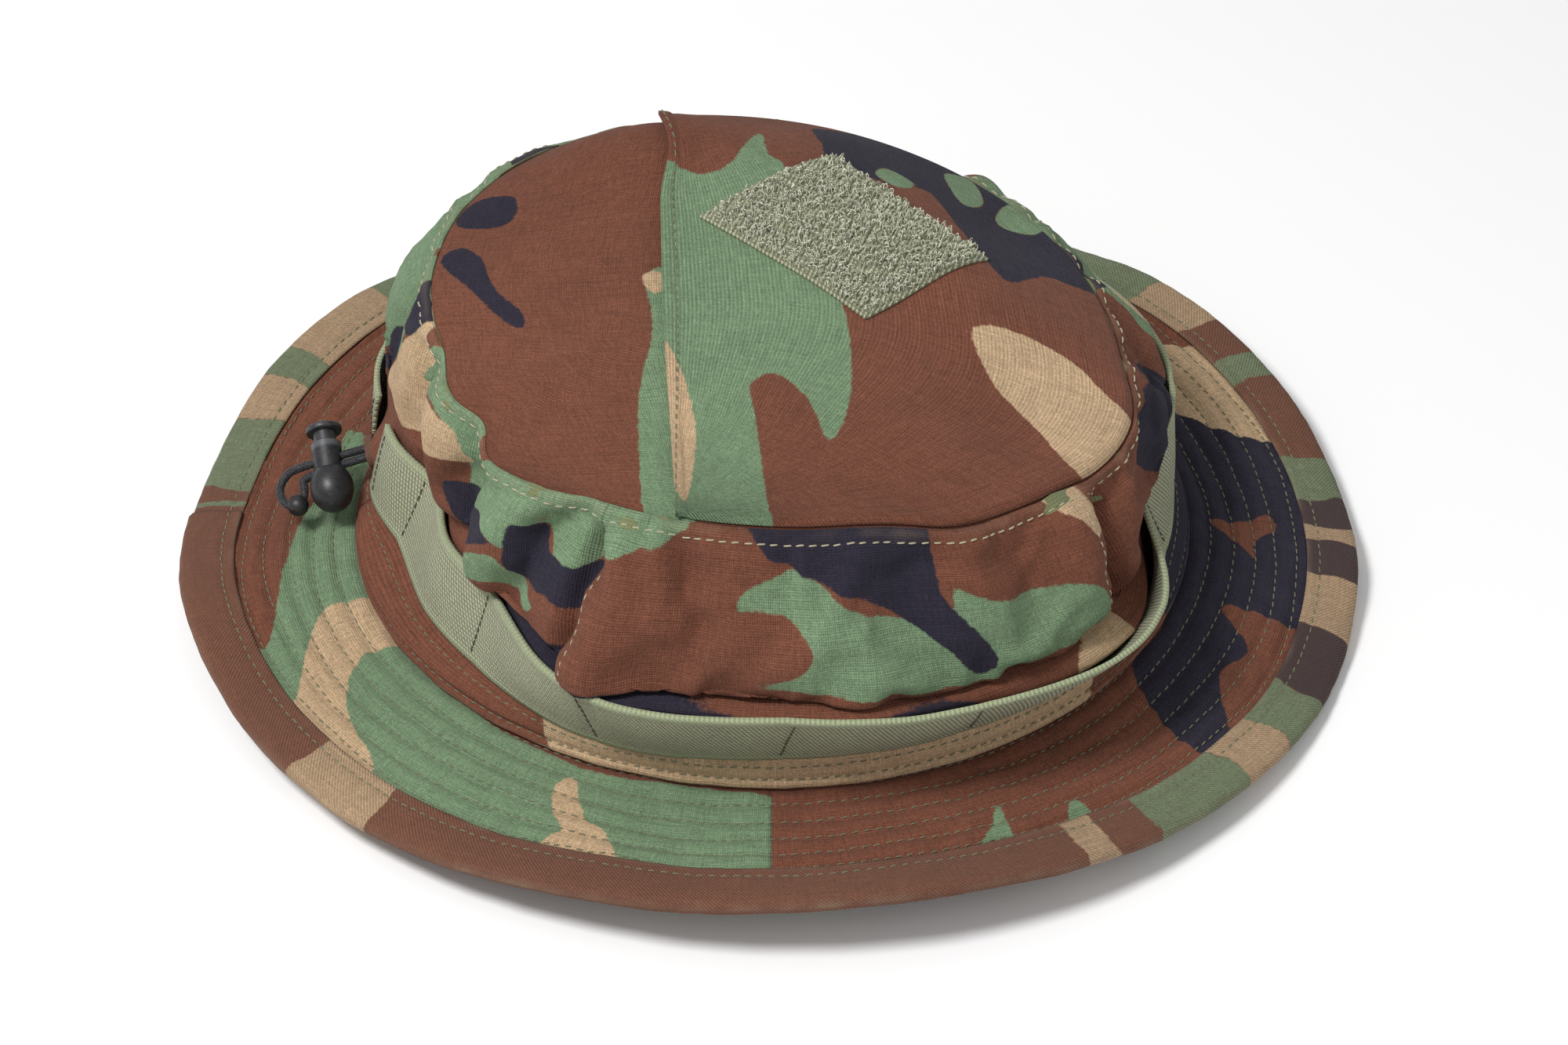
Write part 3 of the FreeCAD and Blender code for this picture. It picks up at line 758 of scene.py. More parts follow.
def brim_surface():
    """The brim's upper face, row 0 at its outer edge and the last row at the base seam."""
    outer, height = rim_line()
    inner = seam_oval(ROUND)
    share = np.linspace(1.0, 0.0, BRIM_ROWS)[:, None]
    xy = inner + (outer - inner) * share[..., None]
    sag = 1.6 * np.sin(math.pi * share) * (0.4 + angle_bump(ROUND, -90, 50) + angle_bump(ROUND, 160, 40))
    z = SEAM_Z + (height + BRIM_THICK / 2 - SEAM_Z) * share ** 1.25 - sag
    points = np.concatenate([xy, z[..., None]], -1)
    points[..., 2] += soft_noise(points, 34.0, 3) * 1.5 * np.sin(math.pi * share)
    return Sheet(points, closed=True)


def binding_share():
    """The share of the brim's run that the binding starts at, for every column."""
    outer, _ = rim_line()
    run = np.linalg.norm(outer - seam_oval(ROUND), axis=1)
    return 1.0 - BINDING_WIDTH / run


def quilted(brim):
    """The brim with a shallow valley at every stitched row, and puckers across them."""
    share = np.linspace(1.0, 0.0, BRIM_ROWS)[:, None]
    place = share / binding_share()[None, :]
    valley = sum(np.exp(-(((place - row) / 0.035) ** 2)) for row in QUILT_ROWS)
    pillow = 0.34 * np.abs(np.sin(math.pi * (place - QUILT_ROWS[0]) / QUILT_STEP))
    flat = brim.points.copy()
    flat[..., 2] = 0
    pucker = soft_noise(flat, 3.4, 8) * 0.3 + soft_noise(flat, 8.0, 9) * 0.5
    inside = place < 1.0
    return brim.lifted(np.where(inside, pillow - 0.6 * valley + pucker, 0.0))


BRIM = quilted(brim_surface())
UNDER = Sheet((BRIM.points - BRIM.normals() * BRIM_THICK)[::-1], closed=True)
SHARE_ROW = BRIM_ROWS - 1


def share_to_row(share):
    return (1.0 - share) * SHARE_ROW


# ---- the shape of the crown ----

SPAN = 9                         # rows between two of the wall's lines
EDGE_RADIUS, EDGE_Z = round_curve(TOP_EDGE, POLAR).T
FOLD_RADIUS, FOLD_Z = round_curve(WALL_FOLD, POLAR).T
BAND_LOW_OUT, _, BAND_TOP_OUT, BAND_TOP_Z = round_curve(BAND_EDGES, ROUND).T


def tuck_strength():
    """How sharply the wall folds over itself above the webbing: most on the wearer's right."""
    return 0.15 + 0.85 * np.clip(angle_bump(POLAR, -85, 42) + 0.5 * angle_bump(POLAR, -160, 25), 0, 1)


def wall_lines():
    """Distance and height of the wall's lines, from the base seam up to the crown's edge."""
    tuck = tuck_strength()
    band_low = SEAM_RADIUS + BAND_LOW_OUT
    band_top = SEAM_RADIUS + BAND_TOP_OUT
    behind = np.minimum(band_top - 3.0, FOLD_RADIUS + 1.5)
    lines = [
        (SEAM_RADIUS - 0.5, SEAM_Z + 0.3),
        (np.minimum(SEAM_RADIUS - 0.8, band_low - 1.8), SEAM_Z + 7.0),
        (band_low * 0.65 + band_top * 0.35 - 2.4, 32.0),
        (band_low * 0.25 + band_top * 0.75 - 2.8, BAND_TOP_Z - 6.0),
        (behind + 2.2 * tuck, np.minimum(FOLD_Z - 3.6, BAND_TOP_Z - 1.0)),
        (FOLD_RADIUS - 3.6 * tuck, FOLD_Z - 2.2),
        (FOLD_RADIUS, FOLD_Z),
        (FOLD_RADIUS * 0.66 + EDGE_RADIUS * 0.34 + 1.6, FOLD_Z * 0.62 + EDGE_Z * 0.38),
        (FOLD_RADIUS * 0.3 + EDGE_RADIUS * 0.7 + 1.5, FOLD_Z * 0.28 + EDGE_Z * 0.72),
        (EDGE_RADIUS, EDGE_Z),
    ]
    return lines


def wall_surface():
    lines = wall_lines()
    marks = np.array([around(POLAR, r, z).ravel() for r, z in lines])
    rows = np.linspace(0, len(lines) - 1, SPAN * (len(lines) - 1) + 1)
    points = smooth_through(np.arange(len(lines)), marks, rows).reshape(len(rows), STEPS_ROUND, 3)
    return Sheet(points, closed=True)


FOLD_ROW = 6 * SPAN
TOP_ROW = 9 * SPAN


# Folds that the slack cloth has fallen into: angle, lean, width, depth, and the share of the wall above
# its fold that each runs from and to.
CREASES = [
    (-33.0, 3.0, 2.0, -9.0, -0.3, 0.95), (-39.0, 2.0, 4.5, 3.2, 0.0, 0.9),
    (-27.0, 4.0, 3.5, 3.0, 0.0, 0.8), (-122.5, 3.0, 1.7, -6.0, -0.3, 0.95),
    (-117.5, 3.0, 3.0, 2.0, -0.1, 0.9), (-111.0, -12.0, 1.8, -2.0, 0.45, 1.0),
    (-104.0, -6.0, 3.0, 2.4, 0.35, 1.0), (-98.0, -9.0, 3.5, -2.6, 0.3, 1.0),
    (-88.0, 16.0, 4.0, 1.4, 0.2, 1.0), (-66.0, -14.0, 4.5, -1.4, 0.1, 0.9),
    (-52.0, -6.0, 4.0, 1.5, 0.0, 0.7), (-134.0, 8.0, 3.5, -4.0, -0.3, 1.0),
    (-142.0, 10.0, 3.5, 3.0, -0.2, 1.0), (-150.0, 4.0, 3.0, -4.5, -0.3, 0.9),
    (-158.0, 0.0, 4.0, 3.5, -0.2, 1.0), (-167.0, -4.0, 3.0, -4.0, -0.2, 0.9),
    (-175.0, -4.0, 4.0, 2.5, -0.2, 1.0), (170.0, 6.0, 4.0, -3.5, -0.2, 0.9),
    (152.0, -8.0, 5.0, 2.5, 0.0, 1.0), (140.0, 5.0, 4.0, -3.0, -0.1, 0.9),
    (118.0, 10.0, 4.5, -3.0, 0.0, 1.0), (100.0, -12.0, 5.0, 2.2, 0.0, 0.9),
    (82.0, 9.0, 4.5, -2.6, 0.1, 1.0), (58.0, -8.0, 5.0, 2.0, 0.0, 0.9),
    (40.0, 5.0, 3.5, -3.5, -0.1, 0.8), (22.0, -5.0, 5.0, 2.0, 0.0, 0.9),
    (6.0, 6.0, 4.0, -2.0, 0.1, 0.9),
]


def creased(wall):
    """The wall with its folds."""
    rows = np.arange(wall.points.shape[0])[:, None]
    rise = np.clip((rows - FOLD_ROW) / (TOP_ROW - FOLD_ROW), -1, 1)
    held = step_up(rows, FOLD_ROW - SPAN, FOLD_ROW + 4) * (1 - step_up(rows, TOP_ROW - 8, TOP_ROW))
    amount = np.zeros(wall.points.shape[:2])
    for angle, lean, width, depth, low, high in CREASES:
        span = step_up(rise, low - 0.1, low + 0.15) * (1 - step_up(rise, high - 0.15, high + 0.1))
        away = (POLAR[None, :] - angle - lean * rise + 180.0) % 360.0 - 180.0
        amount = amount + depth * span * np.exp(-((away / width) ** 2))
    return wall.lifted(amount * held)


def crumple(sheet, held, small=0.9, large=2.0, sharp=1.3, seed=4):
    """Unevenness in cloth that nothing holds flat: wide swells, fine ones and a few thin ridges."""
    wide = soft_noise(sheet.points, 26.0, seed, stretch=(1, 1, 0.7))
    fine = soft_noise(sheet.points, 8.0, seed + 5)
    ridge = np.clip(1 - 5.0 * np.abs(soft_noise(sheet.points, 24.0, seed + 9)), 0, 1) ** 1.5
    patch = np.clip(0.5 + 1.5 * soft_noise(sheet.points, 34.0, seed + 12), 0, 1)
    return sheet.lifted((wide * large + fine * small + ridge * patch * sharp) * held)


SOLVER_SCALE = 0.01              # the solver's metres to a millimetre, so that its settings suit this cloth


def slack_cloth(start, frames):
    """A coarse cloth over a closed grid of points, held along its first and last rows."""
    rows, columns = start.shape[:2]
    mesh = bpy.data.meshes.new("slack wall")
    points = start.reshape(-1, 3) * SOLVER_SCALE
    mesh.from_pydata(points.tolist(), [], grid_faces(rows, columns, True).tolist())
    slack = bpy.data.objects.new("slack wall", mesh)
    bpy.context.scene.collection.objects.link(slack)
    count = rows * columns
    held = slack.vertex_groups.new(name="held")
    held.add(list(range(columns)) + list(range(count - columns, count)), 1.0, "REPLACE")
    solver = slack.modifiers.new("cloth", "CLOTH")
    solver.settings.quality = 6
    solver.settings.mass = 0.3
    solver.settings.bending_stiffness = 0.4
    solver.settings.shrink_min = -0.05
    solver.settings.shrink_max = -0.05
    solver.settings.vertex_group_mass = "held"
    solver.settings.effector_weights.gravity = 0.2
    solver.point_cache.frame_end = frames
    return slack


def solver_moves(start, frames, cap):
    """How far the solver moves each point of a coarse grid, in millimetres and no further than cap."""
    scene = bpy.context.scene
    slack = slack_cloth(start, frames)
    for number in range(1, frames + 1):
        scene.frame_set(number)
    result = slack.evaluated_get(bpy.context.evaluated_depsgraph_get()).to_mesh()
    ends = np.empty(len(result.vertices) * 3)
    result.vertices.foreach_get("co", ends)
    scene.frame_set(1)
    bpy.data.objects.remove(slack)
    moved = ends.reshape(start.shape) / SOLVER_SCALE - start
    moved *= np.minimum(1, cap / np.maximum(np.linalg.norm(moved, axis=-1, keepdims=True), 1e-6))
    print("cloth moved up to", round(float(np.linalg.norm(moved, axis=-1).max()), 2), "mm")
    return moved


def settled(wall, every_row=3, every_column=4, frames=18, cap=3.0):
    """Slack cloth, cut a little larger than the space it fills, buckles between its two sewn edges."""
    rows = np.arange(FOLD_ROW - every_row, TOP_ROW + 1, every_row)
    columns = np.arange(0, STEPS_ROUND, every_column)
    moved = solver_moves(wall.points[rows][:, columns], frames, cap)
    marks = np.append(columns, STEPS_ROUND)
    wide = np.array([[np.interp(np.arange(STEPS_ROUND), marks, np.append(line[:, k], line[0, k]))
                      for k in range(3)] for line in moved]).transpose(0, 2, 1)
    soft = sum(np.roll(wide, shift, 1) * share for shift, share in ((-2, 0.15), (0, 0.7), (2, 0.15)))
    full = smooth_through(rows, soft.reshape(len(rows), -1), np.arange(rows[0], TOP_ROW + 1))
    points = wall.points.copy()
    points[rows[0]:] += full.reshape(-1, STEPS_ROUND, 3)
    return Sheet(points, closed=True)


EXIT_ANGLE, EXIT_RADIUS = 175.0, 104.0     # where the cord leaves the crown


def make_wall():
    wall = creased(wall_surface())
    rows = np.arange(wall.points.shape[0])[:, None]
    held = step_up(rows, FOLD_ROW - 2 * SPAN, FOLD_ROW) * (1 - step_up(rows, TOP_ROW - 6, TOP_ROW))
    wall = settled(crumple(wall, held))
    exit_boss = bump(POLAR, EXIT_ANGLE, 4.0) * bump(wall.points[..., 2], 32.5, 6.5)
    radius = np.hypot(wall.points[..., 0], wall.points[..., 1])
    outward = np.clip(EXIT_RADIUS - radius, 0, 18) * exit_boss
    wall.points[..., 0] += outward * np.cos(np.radians(POLAR))
    wall.points[..., 1] += outward * np.sin(np.radians(POLAR))
    allowance = step_up(rows, TOP_ROW - 7, TOP_ROW - 5) * (1 - step_up(rows, TOP_ROW - 1.2, TOP_ROW))
    return wall.lifted(0.55 * allowance)


WALL = make_wall()
TOP_LIFT = thin_plate(TOP_MARKS + [tuple(p) for p in around(POLAR, EDGE_RADIUS, EDGE_Z)[::16]])


def top_height(xy):
    """The crown's top, made to meet its seam exactly."""
    angles, radius = polar(xy)
    edge_radius, edge_z = round_curve(TOP_EDGE, angles.ravel()).T.reshape(2, *angles.shape)
    share = radius / edge_radius
    rim_xy = around(angles, edge_radius, edge_z)[..., :2]
    miss = edge_z - TOP_LIFT(rim_xy[..., 0], rim_xy[..., 1])
    rounded = 0.9 * (1 - np.clip((1 - share) / 0.03, 0, 1)) ** 2
    z = TOP_LIFT(xy[..., 0], xy[..., 1]) + miss * np.clip(share, 0, 1) ** 4 - rounded
    points = np.concatenate([xy, z[..., None]], -1)
    soft = 1 - step_up(share, 0.86, 1.0)
    flat = points * [1, 1, 0]
    waves = soft_noise(flat, 30.0, 12) * 1.5 + soft_noise(flat, 12.0, 15) * 0.35
    return z + soft * waves


TOP_GRID = 151                   # points along each side of the top's grid


def facing_up(points):
    """A sheet of the points, its columns turned round if its outer face would lie underneath."""
    sheet = Sheet(points)
    row, column = points.shape[0] // 2, points.shape[1] // 2
    return sheet if sheet.normals()[row, column, 2] > 0 else Sheet(points[:, ::-1])


def disc_grid(count):
    """A square grid bent to fill a circle of radius 1."""
    side = np.linspace(-1, 1, count)
    x, y = np.meshgrid(side, -side)
    return np.stack([x * np.sqrt(1 - y ** 2 / 2), y * np.sqrt(1 - x ** 2 / 2)], -1)


def top_sheet():
    unit = disc_grid(TOP_GRID)
    angles, share = polar(unit)
    radius = round_curve(TOP_EDGE, angles.ravel())[:, 0].reshape(angles.shape)
    turn = np.radians(angles)
    xy = np.stack([radius * share * np.cos(turn), radius * share * np.sin(turn)], -1)
    points = np.concatenate([xy, top_height(xy)[..., None]], -1)
    return facing_up(points[::-1])


TOP = top_sheet()
POCKET_SLACK = 0.5               # how far the front panel lies over the top at its seam
POCKET_LIFT = 1.5                # and how much further inside it
POCKET_COLUMNS, POCKET_ROWS = 150, 110
INSIDE_SEAM = 0.994              # where the panel is sewn in, as a share of the way to the top's seam

# The free edge of the crown's front panel, from the wearer's right to the left: x, y.
POCKET_MOUTH = [(-22.5, -72), (-24, -50), (-26, -20), (-27.5, 20), (-27.5, 45), (-27, 60), (-28, 78)]


def mouth_line(count):
    """Points of the pocket's mouth, evenly spread in y, and the crown's edge angles at its two ends."""
    marks = np.array(POCKET_MOUTH, float)
    ends = []
    for first, second in ((marks[0], marks[1]), (marks[-1], marks[-2])):
        angle, _ = polar(first)
        radius = round_curve(TOP_EDGE, [angle])[0, 0]
        ends.append(first / np.hypot(*first) * radius * INSIDE_SEAM)
    y = np.linspace(ends[0][1], ends[1][1], count)
    x = smooth_through(marks[:, 1], marks[:, :1], y)[:, 0]
    return np.stack([x, y], -1)


def pocket_sheet():
    """The crown's front panel: a second layer from the mouth to the front, sewn in round the edge."""
    mouth = mouth_line(POCKET_COLUMNS)
    first, last = (np.degrees(np.arctan2(*mouth[i][::-1])) for i in (0, -1))
    angles = np.linspace(first, last, POCKET_COLUMNS)
    radius = round_curve(TOP_EDGE, angles)[:, 0] * INSIDE_SEAM
    turn = np.radians(angles)
    arc = np.stack([radius * np.cos(turn), radius * np.sin(turn)], -1)
    share = np.linspace(0, 1, POCKET_ROWS)[:, None, None]
    xy = mouth[None] * (1 - share) + arc[None] * share
    z = top_height(xy)
    from_mouth = np.linalg.norm(xy - mouth[None], axis=-1)
    to_seam = 1 - polar(xy)[1] / round_curve(TOP_EDGE, polar(xy)[0].ravel())[:, 0].reshape(z.shape)
    lift = POCKET_LIFT * step_up(to_seam, -0.002, 0.02) + POCKET_SLACK
    fold = 0.5 * (1 - step_up(from_mouth, 2.5, 4.0)) - 0.3 * bump(from_mouth, 3.4, 0.7)
    y = xy[..., 1]
    rise = 2.4 * bump(y, 53, 11) * (1 - step_up(from_mouth, 2, 26))
    rise = rise + 1.2 * bump(y, 22, 16) * (1 - step_up(from_mouth, 1, 12))
    curl = 2.2 * np.sin((y - 30) / 6.5) * bump(y, 52, 18) * (1 - step_up(from_mouth, 0, 12))
    points = np.stack([xy[..., 0] + curl, y, z + lift + fold + rise], -1)
    return facing_up(points[::-1])


POCKET = pocket_sheet()


def column_at(angle):
    """The whole column nearest to a true angle round the hat."""
    return int(round(np.interp((angle + 180.0) % 360.0 - 180.0, POLAR, np.arange(STEPS_ROUND))))


def sector(sheet, start, stop, rows=slice(None)):
    """The part of a closed sheet between two columns, going the way that angles grow."""
    columns = np.arange(start, stop + 1 if stop > start else stop + STEPS_ROUND + 1) % STEPS_ROUND
    return Sheet(sheet.points[rows][:, columns])


# ---- the woodland print ----

INKS = ("green", "tan", "black")
DEGREE = 1.6                     # millimetres of cloth to a degree, round the crown
RIM_DEGREE = 2.4                 # and round the brim's rim
PRINT_REACH = 30.0               # the furthest that a vertex knows of an ink's edge

# Each blob is an ink and its outline. On the crown's top and the brim the points are x, y; on the walls
# they are angle, height, with the rear wall's angles going on past 180. "not black" cuts a hole in the
# black. Most outlines began as points read by eye off the hat's picture, which a scratch program cast onto
# the model. They were then thinned and rounded, and some were moved. HEM_PRINT, the front wall's blob and
# the black behind the webbing are estimates; that black, under the wall's fold, is painted shadow.
TOP_PRINT = [
    ("black", [(-78, 29), (-73, 34), (-65, 34), (-64, 27), (-68, 23), (-78, 23)]),
    ("black", [(-82, 10), (-77, 15), (-72, 11), (-68, 0), (-61, -8), (-61, -13), (-67, -9), (-74, 0)]),
    ("green", [(-31, 3), (-29, -15), (-32, -40), (-29, -74), (-18, -74), (-22, -40), (-24, -20),
               (-25, 4)]),
    ("tan", [(-32, 3), (-28, 5), (-25, 1), (-29, -3)]),
]
POCKET_PRINT = [
    ("green", [(-30, 37), (-18, 36), (-11, 39), (-7, 47), (-3, 54), (-1, 44), (3, 39), (5, 25), (11, 5),
               (18, -13), (19, -38), (14, -52), (9, -41), (1, -33), (-5, -36), (-4, -45), (-1, -69),
               (0, -82), (-28, -80), (-32, -40), (-32, 0)]),
    ("tan", [(-27, -21), (-22, -30), (-19, -42), (-18, -52), (-20, -68), (-24, -62), (-27, -45)]),
    ("tan", [(49, -12), (53, -8), (63, -8), (74, -12), (82, -19), (90, -27), (88, -36), (80, -43),
             (74, -46), (65, -36), (54, -25)]),
    ("black", [(11, 66), (13, 50), (14, 44), (25, 41), (30, 40), (38, 44), (43, 39), (51, 21), (58, 10),
               (65, 16), (70, 21), (84, 22), (84, 36), (70, 52), (50, 68), (30, 74)]),
    ("green", [(44, 59), (51, 61), (54, 50), (48, 45)]),
    ("not black", [(44, 59), (51, 61), (54, 50), (48, 45)]),
    ("green", [(57, 43), (61, 54), (70, 51), (67, 42)]),
    ("not black", [(57, 43), (61, 54), (70, 51), (67, 42)]),
    ("green", [(26, 43), (29, 48), (36, 45), (32, 40)]),
    ("not black", [(26, 43), (29, 48), (36, 45), (32, 40)]),
]
WALL_PRINT = {
    "right": [
        ("green", [(-122, 87), (-106, 88), (-106, 83), (-114, 80), (-119, 76), (-122, 75)]),
        ("black", [(-93, 88), (-66, 88), (-63, 78), (-63, 68), (-59, 58), (-57, 50), (-60, 47),
                   (-64, 56), (-70, 64), (-76, 71), (-83, 76), (-88, 79), (-91, 81)]),
        ("green", [(-95, 71), (-94, 74), (-88, 77), (-84, 77), (-75, 67), (-68, 63), (-62, 65),
                   (-61, 69), (-56, 65), (-49, 60), (-41, 58), (-37, 50), (-38, 41), (-48, 45),
                   (-58, 45), (-73, 49), (-88, 53), (-93, 54), (-87, 57), (-84, 63), (-88, 69)]),
        ("tan", [(-41, 77), (-33, 77), (-33, 68), (-36, 66), (-38, 72)]),
        # Painted shadow: this black runs along the foot of the wall, behind the webbing and under the
        # wall's fold, where the fold's shade falls.
        ("black", [(-122, 26), (-122, 46), (-100, 46.5), (-80, 45.5), (-62, 42), (-60, 26)]),
        ("tan", [(-44, 33), (-44, 40), (-33, 40), (-33, 33)]),
    ],
    "rear": [
        ("green", [(163, 78), (173, 96), (180, 95), (183, 85), (180, 72), (172, 68), (168, 70)]),
        ("black", [(168, 69), (174, 66), (176, 60), (172, 57), (167, 60)]),
        ("black", [(178, 96), (178, 89), (184, 85), (186, 95)]),
        ("tan", [(176, 60), (178, 68), (184, 84), (186, 93), (189, 88), (188, 76), (193, 78), (200, 85),
                 (206, 83), (209, 74), (205, 73), (198, 70), (188, 58), (181, 57)]),
        ("green", [(187, 80), (193, 92), (208, 92), (212, 89), (213, 82), (222, 88), (234, 88),
                   (242, 88), (242, 75), (238, 69), (233, 69), (228, 76), (226, 70), (222, 72),
                   (214, 68), (208, 64), (208, 74), (207, 81), (201, 86), (193, 80), (188, 74)]),
        ("black", [(204, 64), (211, 67), (219, 73), (225, 70), (222, 69), (210, 54), (206, 58)]),
        ("black", [(226, 62), (226, 77), (229, 75), (231, 70), (235, 70), (242, 69), (242, 60),
                   (234, 61), (229, 59)]),
        ("green", [(209, 49), (222, 66), (226, 64), (228, 58), (231, 56), (229, 53), (223, 56),
                   (214, 51)]),
        # Painted shadow: this black, behind the webbing and under the wall's fold, stands for the fold's
        # shade.
        ("black", [(214, 44), (222, 49), (242, 47), (242, 26), (214, 26)]),
    ],
    "front": [
        ("black", [(-14, 60), (-8, 67), (2, 66), (12, 52), (2, 42), (-8, 46)]),
    ],
    "left": [],
}
HEM_PRINT = [
    ("tan", [(-117, 10), (-117, 40), (-46, 40), (-46, 10)]),
    ("black", [(-18, 10), (-14, 40), (14, 40), (10, 10)]),
]
BRIM_PRINT = {
    "rear": [
        ("green", [(-112, 38), (-115, 23), (-122, 2), (-125, -20), (-126, -42), (-131, -46),
                   (-135, -46), (-132, -60), (-120, -80), (-97, -99), (-63, -122), (-16, -132),
                   (8, -132), (8, -112), (3, -98), (-16, -93), (-46, -87), (-75, -66), (-92, -40),
                   (-98, -10), (-100, 15), (-104, 30)]),
        ("tan", [(-92, -28), (-110, -30), (-114, -33), (-117, -46), (-118, -58), (-119, -64),
                 (-113, -71), (-100, -86), (-98, -81), (-103, -71), (-106, -60), (-103, -48), (-92, -43)]),
        ("tan", [(-48, -89), (-53, -92), (-53, -100), (-51, -105), (-56, -111), (-42, -122),
                 (-37, -118), (-40, -107), (-45, -102), (-47, -95)]),
        ("black", [(-126, 63), (-124, 68), (-118, 72), (-117, 67), (-121, 62)]),
    ],
    "front": [
        ("green", [(55, -98), (53, -106), (49, -115), (59, -115)]),
        ("green", [(73, -95), (81, -103), (73, -107)]),
        ("black", [(97, 57), (105, 45), (121, 38), (135, 35), (141, 26), (144, 10), (144, -10),
                   (138, -31), (131, -31), (121, -28), (114, -28), (120, -40), (113, -48), (112, -55),
                   (114, -76), (108, -78), (97, -68), (90, -52), (98, -38), (104, -15), (106, 10),
                   (102, 38)]),
        ("not black", [(113, 2), (121, 3), (129, 8), (130, 2), (124, -4), (124, -10), (119, -5)]),
        ("tan", [(88, 106), (96, 92), (97, 76), (104, 70), (125, 70), (136, 60), (140, 42), (134, 34),
                 (119, 38), (105, 45), (99, 54), (97, 66), (90, 82)]),
    ],
}

# The binding's print: an ink, and the angles on the brim's oval that it runs between. These came about in
# the same way.
BINDING_PRINT = [
    ("green", 122, 137), ("tan", 137, 149), ("green", 149, 154), ("tan", 154, 160), ("green", 160, 171),
    ("green", 173.5, 174.6), ("tan", -142, -131), ("tan", -60, -56), ("green", -51, -38.5),
    ("tan", -38.5, -31.5), ("green", -31.5, -24), ("black", -24, -14.5), ("tan", -14.5, -6),
    ("black", -6, 0), ("tan", 0, 3), ("black", 3, 7.7), ("green", 7.7, 14), ("green", 27, 31),
    ("tan", 37, 45), ("green", 45, 55),
]


def inside_distance(xy, outline):
    """How far each point is inside a closed outline, in millimetres, and less than 0 outside."""
    shape = xy.shape[:-1]
    p = xy.reshape(-1, 2)
    start = outline
    way = np.roll(outline, -1, 0) - start
    best = np.full(len(p), 1e9)
    crossings = np.zeros(len(p), int)
    for a, d in zip(start, way):
        along = np.clip(((p - a) @ d) / max(d @ d, 1e-9), 0, 1)
        best = np.minimum(best, np.hypot(*(p - a - along[:, None] * d).T))
        spans = (a[1] > p[:, 1]) != (a[1] + d[1] > p[:, 1])
        cut = a[0] + (p[:, 1] - a[1]) * d[0] / (d[1] if abs(d[1]) > 1e-9 else 1e-9)
        crossings += spans & (p[:, 0] < cut)
    return np.where(crossings % 2, best, -best).reshape(shape)


def loose_print(points, seed):
    """Blobs of each ink for cloth that has no listed outlines."""
    marks = {}
    for i, (ink, share) in enumerate((("green", 0.02), ("tan", -0.2), ("black", -0.16))):
        value = soft_noise(points, 52.0, seed + 3 * i, stretch=(1.3, 1, 1))
        value = value + 0.35 * soft_noise(points, 21.0, seed + 3 * i + 1)
        marks[ink] = (value + share) * 40.0
    return marks


def drawn_print(places, blobs, scale=(1.0, 1.0)):
    """The listed outlines: how far each place is inside any blob of each ink."""
    marks = {ink: np.full(places.shape[:-1], -PRINT_REACH) for ink in INKS}
    for ink, outline in blobs:
        smooth = closed_outline(np.array(outline, float) * scale, 6)
        reach = inside_distance(places * scale, smooth)
        if ink == "not black":
            marks["black"] = np.minimum(marks["black"], -reach)
        else:
            marks[ink] = np.maximum(marks[ink], reach)
    return marks


def print_on(obj, points, seed, drawn=None, seen=1.0, wear=None):
    """Gives a cloth piece its print: the listed one where seen is 1, loose blobs where it is 0."""
    loose = loose_print(points, seed)
    for ink in INKS:
        values = loose[ink] if drawn is None else loose[ink] * (1 - seen) + drawn[ink] * seen
        give_both(obj, ink, np.clip(values, -PRINT_REACH, PRINT_REACH))
    give_both(obj, "wear", np.zeros(points.shape[:2]) if wear is None else wear)


def near_side(degrees):
    """1 round the sides and the near half of the hat, fading to 0 at its far side."""
    away = np.abs((degrees - 90.0 + 180.0) % 360.0 - 180.0)
    return step_up(away, 34.0, 44.0)


# ---- the crown's pieces ----

RIPSTOP = 0.8                    # thickness of the crown's cloth
HEM_ROWS = 31


def edge_wear(sheet, rows):
    """Rubbed threads along the given rows."""
    index = np.arange(sheet.points.shape[0])[:, None]
    worn = sum(bump(index, row, 0.9) for row in rows)
    patchy = np.clip(soft_noise(sheet.points, 6.0, 41) + 0.5, 0, 1)
    return np.clip(worn * patchy, 0, 1)


def make_top():
    obj = cloth("crown_top_cloth", TOP, RIPSTOP, CAMO, ["crown_top_panel"])
    print_on(obj, TOP.points, 31, drawn_print(TOP.points[..., :2], TOP_PRINT))


def make_pocket():
    obj = cloth("pocket_cloth", POCKET, RIPSTOP, CAMO, ["crown_pocket_panel"])
    print_on(obj, POCKET.points, 52, drawn_print(POCKET.points[..., :2], POCKET_PRINT))


WALL_PANELS = {"front": (-34, 36), "left": (36, 119), "rear": (119, -120), "right": (-120, -34)}


def make_walls():
    for side, (start, stop) in WALL_PANELS.items():
        sheet = sector(WALL, column_at(start), column_at(stop))
        columns = np.arange(sheet.points.shape[1])[None, :]
        near_end = bump(columns, 0, 2.5) + bump(columns, sheet.points.shape[1] - 1, 2.5)
        sheet = sheet.lifted(0.35 * near_end)
        obj = cloth("wall_" + side, sheet, RIPSTOP, CAMO, ["side_wall_" + side])
        angles, _ = polar(sheet.points)
        if side == "rear":
            angles = angles % 360.0
        places = np.stack([angles, sheet.points[..., 2]], -1)
        drawn = drawn_print(places, WALL_PRINT[side], (DEGREE, 1.0))
        seen = step_up(np.abs((angles + 90.0) % 360.0 - 180.0), 70.0, 84.0)
        print_on(obj, sheet.points, 60, drawn, seen, 0.4 * edge_wear(sheet, [TOP_ROW - 1]))


